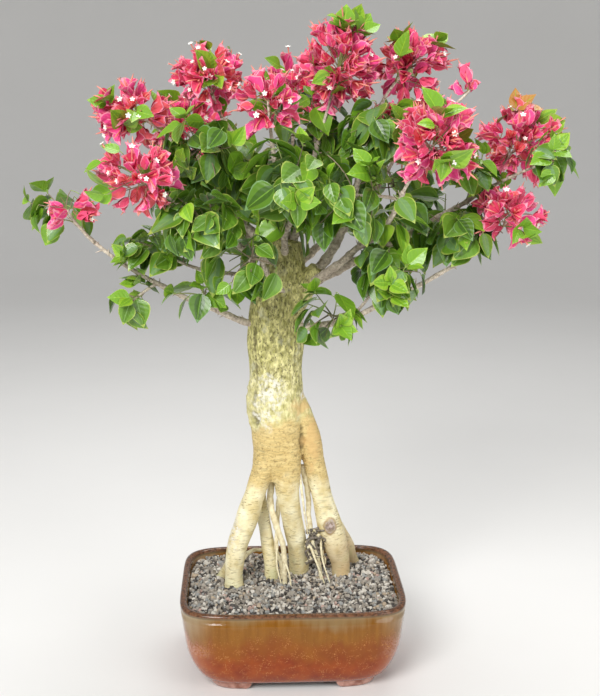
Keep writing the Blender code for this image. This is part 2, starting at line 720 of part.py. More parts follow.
def inflated(made, by):
    """A copy whose surface stands out by a small amount, for cutting neighbours clear."""
    copy = add_object(made.name + "_cutter", made.data.copy())
    grow = copy.modifiers.new("grow", "DISPLACE")
    grow.mid_level = 0.0
    grow.strength = by
    apply_modifiers(copy)
    return copy


def aerial_root(name, stops, trunk_cutter, finish):
    path = smooth_path(stops, 2)
    radii = AERIAL_RADIUS * (1.0 + AERIAL_TAPER * np.linspace(1.0, -1.0, len(path)))
    made = limb_object(name, path, radii, LIMB_SIDES)
    subtract(made, trunk_cutter)
    cut_at_soil(made)
    keep_main_body(made)
    finish_with(made, finish)
    return made


# ---------------------------------------------------------------- boughs


def axis_point(stations, height):
    heights = [s.z for s in stations]
    x = np.interp(height, heights, [s.x for s in stations])
    y = np.interp(height, heights, [s.y for s in stations])
    return np.array([x, y, height])


def along(path, share):
    """The place at a share of the path's length."""
    steps = np.linalg.norm(np.diff(path, axis=0), axis=1)
    run = np.concatenate([[0.0], np.cumsum(steps)])
    return np.array([np.interp(share * run[-1], run, path[:, i]) for i in range(3)])


def lay_out_boughs():
    """Each bough's path and radii, parents first."""
    laid = {}
    for number, plan in enumerate(BOUGHS):
        if plan.parent == "trunk":
            start = axis_point(TRUNK, plan.at)
        elif plan.parent in STUBS:
            low, high = (np.array(end) for end in STUBS[plan.parent][:2])
            start = low + (high - low) * plan.at
        else:
            start = along(laid[plan.parent][0], plan.at)
        if plan.at == 1.0:
            start = start + unit(np.array(plan.tip) - start) * GAP
        start = start + (*plan.offset, 0.0)
        path = bough_path(start, plan.tip, plan.rise, plan.level, number)
        share = np.linspace(0.0, 1.0, len(path))
        laid[plan.place] = (path, plan.thick + (plan.thin - plan.thick) * share**LIMB_TAPER)
    return laid


def stretched(path, by):
    """The path with both ends drawn out."""
    longer = path.copy()
    longer[0] -= unit(path[1] - path[0]) * by
    longer[-1] += unit(path[-1] - path[-2]) * by
    return longer


def bough_cutter(path, radii):
    return limb_object("bough_cutter", stretched(path, CUT_GAP), radii + CUT_GAP, LIMB_SIDES)


def bough(plan, laid, trunk_cutter, finish):
    path, radii = laid[plan.place]
    made = limb_object(plan.name, path, radii, LIMB_SIDES)
    if plan.parent in laid:
        cutter = bough_cutter(*laid[plan.parent])
        subtract(made, cutter)
        discard(cutter)
    else:
        subtract(made, trunk_cutter)
    keep_main_body(made)
    finish_with(made, finish)
    return made


# ---------------------------------------------------------------- the room each mass has


def blade(root, direction, normal, length, width, thick=LEAF_THICK):
    """Points and faces of one leaf: a thin octahedron, widest near its root's end."""
    side = np.cross(direction, normal)
    belly = root + direction * length * LEAF_BELLY
    half = normal * thick / 2
    points = [
        root,
        root + direction * length,
        belly + side * width / 2,
        belly - side * width / 2,
        belly + half,
        belly - half,
    ]
    faces = [(0, 2, 4), (0, 4, 3), (0, 3, 5), (0, 5, 2), (1, 4, 2), (1, 3, 4), (1, 5, 3), (1, 2, 5)]
    return points, faces


class Room:
    """Tells which places belong to a mass, and which limbs its leaves keep clear of."""

    def __init__(self, limbs):
        self.middles = np.array([mass.middle for mass in MASSES])
        self.radii = np.array([mass.radii for mass in MASSES])
        self.sizes = self.radii.mean(axis=1)
        self.limb_points = np.concatenate([points for _, points, _ in limbs])
        self.limb_radii = np.concatenate([radii for _, _, radii in limbs])
        self.limb_names = np.concatenate([[name] * len(points) for name, points, _ in limbs])

    def holds(self, index, points):
        """Whether all the points lie in this mass's ellipsoid, on its side of every border."""
        points = np.asarray(points)
        depth = np.linalg.norm((points[:, None, :] - self.middles) / self.radii, axis=2)
        own = depth[:, index]
        if own.max() > 1.0:
            return False
        margin = CELL_MARGIN * (1.0 / self.sizes + 1.0 / self.sizes[index])
        ahead = depth - own[:, None] - margin
        ahead[:, index] = 1.0
        return ahead.min() > 0.0

    def clears_limbs(self, points, radius, own):
        """Whether a twig's points keep clear of every limb but those it grows from."""
        others = ~np.isin(self.limb_names, own)
        offsets = self.limb_points[others][None] - np.asarray(points)[:, None]
        gaps = np.linalg.norm(offsets, axis=2) - self.limb_radii[others]
        return gaps.min() > radius + LIMB_CLEAR

    def clears_blade(self, root, direction, normal, length, width, own):
        """Whether a leaf keeps clear of every limb but the stem it grows on."""
        others = ~np.isin(self.limb_names, own)
        offset = self.limb_points[others] - root
        radii = self.limb_radii[others] + LIMB_CLEAR
        side = np.cross(direction, normal)
        run = offset @ direction
        near = np.abs(offset @ normal) < radii + LEAF_THICK / 2
        in_length = (run > -radii) & (run < length + radii)
        belly = length * LEAF_BELLY
        share = np.clip(np.where(run < belly, run / belly, (length - run) / (length - belly)), 0.0, 1.0)
        in_width = np.abs(offset @ side) < share * width / 2 + radii * 1.3
        return not (near & in_length & in_width).any()


def blade_tester(root, direction, normal, length, width):
    """A thicker blade without its root, for telling whether two leaves of a mass cross."""
    bare = 0.07 * length
    start = root + direction * bare
    return BVHTree.FromPolygons(*blade(start, direction, normal, length - bare, width, TEST_THICK))


def sampled(name, path, radii):
    """The limb as spheres close together, for telling what comes near it."""
    count = max(2, int(np.linalg.norm(np.diff(path, axis=0), axis=1).sum() / SAMPLE_STEP))
    share = np.linspace(0.0, 1.0, count)
    points = np.array([along(path, s) for s in share])
    return name, points, np.interp(share, np.linspace(0.0, 1.0, len(radii)), radii)


def all_limbs(laid, stems):
    """Every limb and stem, sampled."""
    limbs = [sampled(name, path, radii) for name, (path, radii) in laid.items()]
    column = smooth_path([(s.x, s.y, s.z, s.radius) for s in TRUNK], STATION_STEPS)
    limbs.append(sampled("trunk", column[:, :3], column[:, 3] + BARK_LUMP))
    for name, (low, high, low_radius, high_radius) in STUBS.items():
        ends = np.array([low_radius, high_radius]) + BARK_LUMP
        limbs.append(sampled(name, np.array([low, high]), ends))
    for mass, stem in zip(MASSES, stems):
        limbs.append(sampled(mass.name, stem, np.array([STEM_RADIUS, STEM_RADIUS * STEM_TAPER])))
    return limbs


# ---------------------------------------------------------------- how a mass grows


def rank_on_bough(mass, laid):
    """The mass that lies furthest on grows from the bough's tip, and the next ones lower down."""
    path, _ = laid[mass.bough]
    heading = unit(path[-1] - path[-2])
    rivals = [other for other in MASSES if other.bough == mass.bough]
    ahead = [(np.array(other.middle) - path[-1]).dot(heading) for other in rivals]
    mine = (np.array(mass.middle) - path[-1]).dot(heading)
    continued = any(plan.parent == mass.bough and plan.at == 1.0 for plan in BOUGHS)
    return sum(other > mine for other in ahead) + int(continued)


def stem_path(mass, laid):
    """From the middle of the bough near its tip, bending out towards the mass's middle."""
    path, _ = laid[mass.bough]
    rank = rank_on_bough(mass, laid)
    length = np.linalg.norm(np.diff(path, axis=0), axis=1).sum()
    start = along(path, 1.0 - rank * STEM_SPACING / length)
    end = np.array(mass.middle)
    heading = unit(path[-1] - path[-2])
    lead = STEM_LEAD_SIDE if rank else STEM_LEAD_TIP
    bend = start + heading * np.linalg.norm(end - start) * lead + (end - start) * (0.5 - lead)
    share = np.linspace(0.0, 1.0, STEM_POINTS)
    return np.array([(1 - t) ** 2 * start + 2 * t * (1 - t) * bend + t**2 * end for t in share])


def spread(count):
    """Directions spaced evenly over a sphere."""
    for i in range(count):
        z = 1.0 - 2.0 * (i + 0.5) / count
        ring = math.sqrt(1.0 - z * z)
        yield np.array([ring * math.cos(i * GOLDEN_ANGLE), ring * math.sin(i * GOLDEN_ANGLE), z])


def bract_pose(heading, turn, rng):
    """Direction and normal of a bract: it stands out round its twig like part of a cup."""
    across = unit(np.cross(heading, (0.3, 0.5, 0.8)))
    around = math.cos(turn) * across + math.sin(turn) * np.cross(heading, across)
    lean = math.radians(rng.uniform(*BRACT_LEAN))
    direction = math.cos(lean) * heading + math.sin(lean) * around
    return unit(direction), unit(math.sin(lean) * heading - math.cos(lean) * around)


def leaf_pose(outward, heading, turn, rng):
    """Direction and normal of a leaf: it faces out and up, and hangs from its twig."""
    normal = unit(outward * 0.8 + np.array([0.0, 0.0, 0.5]) + rng.normal(size=3) * 0.25)
    fan = unit(np.cross(heading, (0.2, 0.1, 1.0)))
    hang = heading * 0.45 + fan * math.sin(turn) * 0.9 - np.array([0.0, 0.0, 0.65])
    hang += rng.normal(size=3) * 0.18
    return unit(hang - normal * hang.dot(normal)), normal


class Growth:
    """The twigs and leaves of one mass, added a twig at a time where there is room."""

    def __init__(self, index, stem, room):
        self.index = index
        self.mass = MASSES[index]
        self.stem = stem
        self.room = room
        self.rng = np.random.default_rng(FIRST_SEED + index)
        share = float(np.clip(min(self.mass.radii) / FULL_SIZE_MASS, SMALLEST_SHARE, 1.0))
        self.length, self.width = (side * share for side in LEAF_SIZES[self.mass.kind])
        stem_tube = tube(stem, np.linspace(STEM_RADIUS, STEM_RADIUS * STEM_TAPER, len(stem)), 3)
        self.stem_tester = BVHTree.FromPolygons(*stem_tube)
        self.leaf_testers = []
        self.twig_testers = []
        self.pieces = []
        self.free_slots = self.slots()

    def slots(self):
        """Shares of the stem, a twig's width apart, that lie in the mass's own space."""
        run = np.linalg.norm(self.stem[-1] - self.stem[0])
        shares = np.arange(STEM_BARE, STEM_END, TWIG_SPACING / run)
        return [float(s) for s in shares if self.room.holds(self.index, [along(self.stem, s)])]

    def nearest_slot(self, spot):
        """The free slot that lets a twig slant forward to the spot."""
        axis = self.stem[-1] - self.stem[0]
        run = np.linalg.norm(axis)
        on_axis = (spot - self.stem[0]).dot(axis) / run**2
        off_axis = np.linalg.norm(spot - self.stem[0] - axis * on_axis) / run
        return min(self.free_slots, key=lambda slot: abs(slot - on_axis + TWIG_DROP * off_axis))

    def leaf(self, root, outward, heading, turn, others):
        """A leaf and its tester, or nothing where no pose has room."""
        for number in range(LEAF_TRIES):
            angle = turn + TURN_ON * number
            if self.mass.kind == "blossom":
                direction, normal = bract_pose(heading, angle, self.rng)
            else:
                direction, normal = leaf_pose(outward, heading, angle, self.rng)
            scale = self.rng.uniform(*SIZE_SPREAD)
            length, width = self.length * scale, self.width * scale
            points, faces = blade(root, direction, normal, length, width)
            tester = blade_tester(root, direction, normal, length, width)
            if not self.room.holds(self.index, points[1:]):
                continue
            if not self.room.clears_blade(root, direction, normal, length, width, (self.mass.name,)):
                continue
            if any(tester.overlap(other) for other in others):
                continue
            return (points, faces), tester
        return None

    def twig(self, outward, pull, fewest):
        """Adds a twig with its leaves, and says whether it had room for enough of them."""
        reach = 1.0 / np.linalg.norm(outward / np.array(self.mass.radii))
        run = max(END_NEAREST * reach, reach - END_SHORT * self.length)
        spot = np.array(self.mass.middle) + outward * run * pull
        slot = self.nearest_slot(spot)
        base = along(self.stem, slot)
        heading = unit(spot - base)
        inner = [base + (spot - base) * share for share in (0.1, 0.3, 0.5, 0.75, 1.0)]
        own = (self.mass.name, self.mass.bough)
        if not self.room.holds(self.index, inner) or not self.room.clears_limbs(inner, TWIG_RADIUS, own):
            return False
        per_twig = LEAVES_PER_TWIG[self.mass.kind]
        spacing = LEAF_SPACING
        if self.mass.kind == "foliage":
            spacing = max(spacing, np.linalg.norm(spot - base) * LEAF_STAGGER)
        others = self.leaf_testers + self.twig_testers + [self.stem_tester]
        leaves = []
        for number in range(per_twig):
            root = spot - heading * (LEAF_SPACING / 2 + spacing * number)
            turn = 2.0 * math.pi * number / per_twig + self.rng.random() * 0.9
            found = self.leaf(root, outward, heading, turn, others + [tester for _, tester in leaves])
            if found:
                leaves.append(found)
        bare = (base + heading * STEM_RADIUS * 1.5, spot)
        twig_tester = BVHTree.FromPolygons(*tube(bare, (TWIG_RADIUS * 1.5, TWIG_RADIUS * 1.5), 3))
        crosses = any(twig_tester.overlap(other) for other in self.leaf_testers + self.twig_testers)
        if len(leaves) < fewest or crosses:
            return False
        self.pieces.append(tube((base, spot), (TWIG_RADIUS * 1.25, TWIG_RADIUS), 3))
        self.pieces += [piece for piece, _ in leaves]
        self.leaf_testers += [tester for _, tester in leaves]
        self.twig_testers.append(twig_tester)
        self.free_slots.remove(slot)
        return True

    def grow(self):
        """Sends twigs evenly all round until the mass has its leaves."""
        wanted = math.ceil(self.mass.leaves / LEAVES_PER_TWIG[self.mass.kind] * SPARE_TWIGS)
        ways = list(spread(wanted))
        for number in self.rng.permutation(wanted):
            outward = unit(ways[number] + self.rng.normal(size=3) * WAY_NOISE)
            for pull, fewest in PULLS:
                if len(self.leaf_testers) >= self.mass.leaves or not self.free_slots:
                    return
                if self.twig(outward, pull, fewest):
                    break


def mass_object(index, stem, laid, room, finish):
    """Stem, twigs and leaves fused into one body, cut clear of the bough that carries it."""
    mass = MASSES[index]
    growth = Growth(index, stem, room)
    growth.grow()
    radii = np.linspace(STEM_RADIUS, STEM_RADIUS * STEM_TAPER, len(stem))
    made = limb_object(mass.name, stem, radii, 3)
    group = bpy.data.collections.new(mass.name + "_pieces")
    bpy.context.scene.collection.children.link(group)
    for points, faces in growth.pieces:
        group.objects.link(bpy.data.objects.new("piece", mesh_of("piece", points, faces)))
    join = made.modifiers.new("join", "BOOLEAN")
    join.operation = "UNION"
    join.operand_type = "COLLECTION"
    join.collection = group
    join.solver = "MANIFOLD"
    apply_modifiers(made)
    for piece in list(group.objects):
        discard(piece)
    bpy.data.collections.remove(group)
    cutter = bough_cutter(*laid[mass.bough])
    subtract(made, cutter, "MANIFOLD")
    discard(cutter)
    keep_main_body(made)
    finish_with(made, finish)
    return made


# ---------------------------------------------------------------- the whole plant


def main():
    for old in list(bpy.data.objects):
        bpy.data.objects.remove(old)

    glaze = material("glazed_ceramic", (0.34, 0.075, 0.025), 0.18, coat=0.6)
    gravel = material("gravel", (0.24, 0.22, 0.21), 0.9)
    bark = material("bark", (0.46, 0.38, 0.20), 0.75)
    root_bark = material("root_bark", (0.60, 0.50, 0.30), 0.75)
    twig_bark = material("twig_bark", (0.33, 0.26, 0.19), 0.8)
    finishes = {
        "foliage": material("leaf", (0.07, 0.20, 0.035), 0.5),
        "blossom": material("bract", (0.72, 0.055, 0.16), 0.55),
    }

    column = trunk(bark)
    trunk_cutter = inflated(column, CUT_GAP)
    nodes = [pot(glaze), soil(gravel), column]
    nodes += [aerial_root(name, stops, trunk_cutter, root_bark) for name, stops in AERIAL_ROOTS.items()]

    laid = lay_out_boughs()
    nodes += [bough(plan, laid, trunk_cutter, twig_bark) for plan in BOUGHS]
    discard(trunk_cutter)

    stems = [stem_path(mass, laid) for mass in MASSES]
    room = Room(all_limbs(laid, stems))
    for index, mass in enumerate(MASSES):
        nodes.append(mass_object(index, stems[index], laid, room, finishes[mass.kind]))

    plant = bpy.data.objects.new("bonsai", None)
    bpy.context.scene.collection.objects.link(plant)
    plant.location = PLANT_SHIFT
    for node in nodes:
        node.parent = plant
        node.data.shade_smooth()
        node.data.set_sharp_from_angle(angle=math.radians(SHARP_ANGLE))


main()
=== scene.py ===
"""The looks of a flowering bougainvillea bonsai in a glazed pot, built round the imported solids.

Places are worked out from the pot's middle on the floor, in metres, with the front at -Y, and every
piece is moved by SHIFT, the pot's place in the frame, when its object is made.
"""

import json
import math
from typing import NamedTuple

import bmesh
import bpy
import numpy as np
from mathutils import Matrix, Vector, noise
from mathutils.bvhtree import BVHTree

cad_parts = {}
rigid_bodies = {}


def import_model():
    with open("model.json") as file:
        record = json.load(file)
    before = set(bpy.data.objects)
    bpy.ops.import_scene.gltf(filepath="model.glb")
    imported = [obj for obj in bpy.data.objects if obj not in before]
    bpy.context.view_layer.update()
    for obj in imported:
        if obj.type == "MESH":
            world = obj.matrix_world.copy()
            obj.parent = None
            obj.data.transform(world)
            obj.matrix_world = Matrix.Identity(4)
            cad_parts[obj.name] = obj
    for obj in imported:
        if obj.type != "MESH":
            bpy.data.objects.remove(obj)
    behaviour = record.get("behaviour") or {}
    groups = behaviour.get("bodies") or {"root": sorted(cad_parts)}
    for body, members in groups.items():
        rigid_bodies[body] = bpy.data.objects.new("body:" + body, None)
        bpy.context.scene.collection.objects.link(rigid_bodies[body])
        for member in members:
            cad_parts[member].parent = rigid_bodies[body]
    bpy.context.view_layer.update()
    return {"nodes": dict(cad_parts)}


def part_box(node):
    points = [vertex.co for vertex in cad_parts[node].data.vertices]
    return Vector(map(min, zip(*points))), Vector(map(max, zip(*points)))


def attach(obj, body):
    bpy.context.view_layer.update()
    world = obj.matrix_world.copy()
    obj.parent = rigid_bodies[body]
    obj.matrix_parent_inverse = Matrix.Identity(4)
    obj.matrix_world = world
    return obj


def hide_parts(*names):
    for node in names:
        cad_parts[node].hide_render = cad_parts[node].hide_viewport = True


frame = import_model()
POT_LOW, POT_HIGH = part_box("pot")
SHIFT = np.array([(POT_LOW.x + POT_HIGH.x) / 2, (POT_LOW.y + POT_HIGH.y) / 2, 0.0])

# ---------------------------------------------------------------- the plan, as in the part

POT_LENGTH = 0.254
POT_DEPTH = 0.206
POT_HEIGHT = 0.100
POT_WALL = 0.0075
LIP = 0.0030
FOOT_HEIGHT = 0.009
BASE_SHARE = 0.765
SHOULDER_SHARE = 0.965
SHOULDER_HEIGHT = 0.062
SHOULDER_ROUND = 1.6
RIM_FLARE = 0.8
CORNER_SQUARE = 6.0
SOIL_EDGE = 0.0905
SOIL_TOP = 0.0970
SOIL_TOP_SHARE = 0.82

# The trunk upwards and each leg downwards: x, y, z and radius of its stations.
TRUNK = (
    (-0.016, 0.012, 0.215, 0.017), (-0.015, 0.013, 0.240, 0.026), (-0.015, 0.013, 0.268, 0.030),
    (-0.015, 0.013, 0.300, 0.0305), (-0.017, 0.013, 0.335, 0.0300), (-0.017, 0.013, 0.379, 0.0320),
    (-0.018, 0.013, 0.408, 0.0295), (-0.013, 0.013, 0.437, 0.0267), (-0.008, 0.012, 0.468, 0.0250),
    (-0.004, 0.012, 0.492, 0.0180),
)
TRUNK_FLAT = 0.90

LEGS = {
    "left": (
        (-0.021, 0.008, 0.262, 0.015), (-0.031, 0.000, 0.238, 0.0125), (-0.041, -0.006, 0.206, 0.0122),
        (-0.052, -0.008, 0.174, 0.0130), (-0.062, -0.009, 0.141, 0.0115), (-0.066, -0.009, 0.110, 0.0108),
        (-0.067, -0.009, 0.088, 0.0130),
    ),
    "back": (
        (-0.030, 0.026, 0.250, 0.013), (-0.036, 0.030, 0.206, 0.0085), (-0.034, 0.028, 0.177, 0.0075),
        (-0.029, 0.020, 0.146, 0.0078), (-0.024, 0.013, 0.115, 0.0080), (-0.023, 0.010, 0.088, 0.0090),
    ),
    "middle": (
        (-0.006, 0.006, 0.262, 0.018), (-0.004, 0.004, 0.231, 0.0155), (-0.004, 0.006, 0.202, 0.0138),
        (0.002, 0.014, 0.165, 0.0122), (0.008, 0.022, 0.128, 0.0112), (0.010, 0.028, 0.088, 0.0120),
    ),
    "right": (
        (-0.002, 0.013, 0.318, 0.0140), (0.0105, 0.013, 0.292, 0.0145), (0.0205, 0.014, 0.262, 0.0138),
        (0.027, 0.015, 0.233, 0.0128), (0.035, 0.016, 0.198, 0.0120), (0.043, 0.017, 0.164, 0.0145),
        (0.052, 0.018, 0.135, 0.0148), (0.058, 0.019, 0.111, 0.0110), (0.059, 0.020, 0.088, 0.0110),
    ),
    "right_toe": (
        (0.047, 0.022, 0.158, 0.012), (0.064, 0.038, 0.128, 0.0105), (0.072, 0.052, 0.104, 0.0090),
        (0.077, 0.060, 0.088, 0.0095),
    ),
    "left_toe": (
        (-0.066, -0.004, 0.122, 0.009), (-0.075, 0.012, 0.104, 0.0075), (-0.082, 0.024, 0.088, 0.0080),
    ),
}

# Each sawn stub from its low end to its high one, with the radii there.
STUBS = {
    "stub_left": ((-0.030, 0.012, 0.425), (-0.050, 0.004, 0.476), 0.0115, 0.0075),
    "stub_right": ((-0.004, 0.010, 0.412), (0.031, 0.002, 0.462), 0.0165, 0.0110),
}

AERIAL_ROOTS = {
    "aerial_root_left": (
        (-0.020, 0.016, 0.226), (-0.024, 0.010, 0.192), (-0.020, 0.002, 0.172),
        (-0.012, -0.006, 0.150), (-0.008, -0.009, 0.122), (-0.008, -0.009, SOIL_TOP),
    ),
    "aerial_root_middle": (
        (-0.010, 0.024, 0.222), (-0.014, 0.020, 0.185), (-0.016, 0.012, 0.152),
        (-0.017, 0.008, 0.132), (-0.012, 0.007, 0.114), (-0.010, 0.007, SOIL_TOP),
    ),
    "aerial_root_right": (
        (0.012, 0.014, 0.232), (0.020, 0.018, 0.197), (0.021, 0.017, 0.171),
        (0.025, 0.010, 0.140), (0.031, 0.004, 0.118), (0.035, 0.002, SOIL_TOP),
    ),
    "cross_root": ((-0.060, 0.006, 0.117), (-0.046, 0.024, 0.124), (-0.027, 0.022, 0.126)),
}
AERIAL_RADIUS = 0.0026


class Bough(NamedTuple):
    """A limb from inside its parent to its tip.

    It starts at a height on the trunk, or a share of the parent's length, moved aside by the offset.
    rise and level are its slopes in degrees at the two ends, thick and thin its radii there.
    """

    place: str
    parent: str
    at: float
    offset: tuple
    tip: tuple
    rise: float
    level: float
    thick: float
    thin: float

    @property
    def name(self):
        return "bough_" + self.place


BOUGHS = (
    Bough("low_left_inner", "trunk", 0.386, (0, 0), (-0.082, -0.004, 0.417), 28, 30, 0.0052, 0.0038),
    Bough("low_left_middle", "low_left_inner", 1.0, (0, 0), (-0.154, -0.008, 0.452), 18, 28, 0.0036, 0.0030),
    Bough("low_left_outer", "low_left_middle", 1.0, (0, 0), (-0.211, -0.015, 0.493), 30, 42, 0.0028, 0.0021),
    Bough("left_thin", "trunk", 0.446, (0, -0.004), (-0.094, -0.004, 0.461), 20, 2, 0.0034, 0.0022),
    Bough("left_front", "trunk", 0.462, (-0.004, -0.004), (-0.078, -0.050, 0.510), 38, 42, 0.0062, 0.0028),
    Bough("left_rear", "trunk", 0.466, (-0.004, 0.006), (-0.118, 0.004, 0.590), 50, 52, 0.0066, 0.0026),
    Bough("upper_left", "trunk", 0.478, (-0.006, 0.002), (-0.073, -0.010, 0.625), 66, 60, 0.0060, 0.0026),
    Bough("upper_middle", "trunk", 0.480, (0, 0), (-0.021, -0.036, 0.602), 80, 70, 0.0056, 0.0026),
    Bough("front_middle", "trunk", 0.470, (0, -0.004), (-0.003, -0.066, 0.536), 48, 50, 0.0052, 0.0028),
    Bough("top", "trunk", 0.480, (0.006, 0.004), (0.030, -0.002, 0.600), 78, 74, 0.0068, 0.0028),
    Bough("upper_right", "stub_right", 0.80, (0, 0.004), (0.094, 0.014, 0.630), 46, 72, 0.0070, 0.0028),
    Bough("right_front", "stub_right", 0.60, (0, -0.002), (0.112, -0.080, 0.552), 34, 70, 0.0058, 0.0028),
    Bough("right", "stub_right", 0.62, (0, 0.002), (0.206, -0.012, 0.546), 26, 34, 0.0064, 0.0026),
    Bough("low_right_inner", "trunk", 0.390, (0, 0), (0.070, -0.050, 0.418), 12, 20, 0.0054, 0.0040),
    Bough("low_right_outer", "low_right_inner", 1.0, (0, 0), (0.192, -0.034, 0.478), 16, 24, 0.0036, 0.0024),
    Bough("front", "trunk", 0.424, (0.014, -0.010), (-0.034, -0.044, 0.480), 46, 50, 0.0044, 0.0026),
    Bough("right_spur", "upper_right", 0.62, (0, 0), (0.164, -0.020, 0.630), 40, 48, 0.0034, 0.0024),
    Bough("back_left", "trunk", 0.456, (-0.002, 0.006), (-0.095, 0.098, 0.560), 40, 50, 0.0062, 0.0028),
    Bough("back_middle", "trunk", 0.468, (0.002, 0.006), (0.006, 0.112, 0.585), 52, 50, 0.0062, 0.0028),
    Bough("back_right", "trunk", 0.448, (0.002, 0.006), (0.115, 0.092, 0.560), 36, 52, 0.0064, 0.0028),
)
LIMB_STEP = 0.026
LIMB_WANDER = 0.0022
LIMB_TAPER = 0.8


class Mass(NamedTuple):
    """Leaves or blossom on one stem, which keep to an ellipsoid and to their side of any border."""

    kind: str
    place: str
    bough: str
    middle: tuple
    radii: tuple
    leaves: int

    @property
    def name(self):
        return f"{self.kind}_{self.place}"


MASSES = (
    Mass("blossom", "left_tip", "low_left_outer", (-0.236, -0.036, 0.531), (0.030, 0.030, 0.027), 6),
    Mass("foliage", "left_tip", "low_left_outer", (-0.248, 0.008, 0.525), (0.052, 0.040, 0.040), 7),
    Mass("foliage", "low_left", "low_left_inner", (-0.096, -0.032, 0.438), (0.046, 0.038, 0.031), 7),
    Mass("foliage", "low_left_drop", "low_left_middle", (-0.172, -0.014, 0.430), (0.032, 0.032, 0.040), 6),
    Mass("foliage", "left_low", "left_thin", (-0.146, -0.020, 0.488), (0.052, 0.044, 0.032), 10),
    Mass("foliage", "left", "left_front", (-0.094, -0.086, 0.524), (0.058, 0.056, 0.044), 12),
    Mass("blossom", "left_low", "left_front", (-0.156, -0.094, 0.569), (0.056, 0.048, 0.038), 14),
    Mass("blossom", "left_high", "left_rear", (-0.168, 0.006, 0.630), (0.048, 0.050, 0.036), 13),
    Mass("foliage", "upper_left", "left_rear", (-0.090, -0.046, 0.596), (0.056, 0.056, 0.050), 14),
    Mass("blossom", "upper_left", "upper_left", (-0.087, -0.008, 0.667), (0.046, 0.050, 0.040), 14),
    Mass("blossom", "upper_middle", "upper_middle", (-0.025, -0.036, 0.642), (0.040, 0.042, 0.038), 11),
    Mass("foliage", "front_middle", "front_middle", (-0.008, -0.112, 0.560), (0.058, 0.052, 0.066), 15),
    Mass("blossom", "top", "top", (0.052, -0.006, 0.681), (0.049, 0.052, 0.056), 17),
    Mass("foliage", "top", "top", (0.024, 0.024, 0.618), (0.062, 0.056, 0.052), 10),
    Mass("blossom", "upper_right", "upper_right", (0.131, 0.022, 0.678), (0.052, 0.050, 0.042), 13),
    Mass("foliage", "upper_right", "upper_right", (0.094, -0.040, 0.616), (0.056, 0.052, 0.044), 11),
    Mass("blossom", "right_spur", "right_spur", (0.190, -0.012, 0.653), (0.024, 0.024, 0.024), 3),
    Mass("blossom", "right_front", "right_front", (0.139, -0.108, 0.603), (0.052, 0.050, 0.050), 16),
    Mass("foliage", "right_front", "right_front", (0.050, -0.102, 0.550), (0.046, 0.048, 0.074), 13),
    Mass("blossom", "right", "right", (0.250, 0.006, 0.598), (0.050, 0.050, 0.050), 14),
    Mass("foliage", "right_tip", "right", (0.268, -0.048, 0.580), (0.038, 0.034, 0.038), 7),
    Mass("foliage", "right_upper", "right", (0.192, -0.032, 0.566), (0.044, 0.044, 0.040), 7),
    Mass("blossom", "low_right", "low_right_outer", (0.230, -0.056, 0.526), (0.047, 0.042, 0.032), 11),
    Mass("foliage", "right", "low_right_outer", (0.174, -0.034, 0.505), (0.060, 0.052, 0.040), 12),
    Mass("foliage", "low_right", "low_right_inner", (0.098, -0.074, 0.470), (0.050, 0.048, 0.048), 11),
    Mass("foliage", "low_middle", "low_right_inner", (0.036, -0.074, 0.424), (0.044, 0.038, 0.042), 8),
    Mass("foliage", "front", "front", (-0.046, -0.084, 0.482), (0.048, 0.042, 0.046), 10),
    Mass("blossom", "back_left", "back_left", (-0.118, 0.118, 0.612), (0.056, 0.052, 0.044), 11),
    Mass("foliage", "back_left", "back_left", (-0.112, 0.116, 0.538), (0.070, 0.062, 0.056), 13),
    Mass("blossom", "back_middle", "back_middle", (0.010, 0.116, 0.652), (0.056, 0.050, 0.046), 11),
    Mass("foliage", "back_middle", "back_middle", (0.008, 0.124, 0.560), (0.064, 0.060, 0.066), 13),
    Mass("blossom", "back_right", "back_right", (0.140, 0.108, 0.612), (0.056, 0.052, 0.044), 11),
    Mass("foliage", "back_right", "back_right", (0.134, 0.106, 0.536), (0.072, 0.062, 0.058), 13),
)


# ---------------------------------------------------------------- camera, and how things grow

CAMERA_PLACE = (-0.047, -1.305, 0.655)
CAMERA_TURN = -2.5  # degrees about the vertical
CAMERA_TILT = 12.2  # degrees down
SENSOR = 36.0
PHOTO_SIZE = (600, 696)
FOCUS_PIXELS = 1200.0

GOLDEN_ANGLE = math.pi * (3.0 - math.sqrt(5.0))
FULL_TURN = 6.28
FIRST_SEED = 11  # every part of the plant counts its own seeds on from here
STEM_LEAD_TIP = 0.30  # how far a stem follows its bough before it bends, as a share of its reach
STEM_LEAD_SIDE = 0.08  # and where it isn't the bough's last one
STEM_SPACING = 0.0095
STEM_BARE = 0.26  # share of a stem that carries no twigs
STEM_END = 0.985
STEM_RADIUS = 0.0017
STEM_TAPER = 0.6
TWIG_DROP = 0.55  # how far below its end a twig leaves the stem, as a share of its way out
WAY_NOISE = 0.12
CELL_MARGIN = 0.0010  # between two masses
LIMB_CLEAR = 0.0006  # between a leaf and a limb

# ---------------------------------------------------------------- meshes from arrays


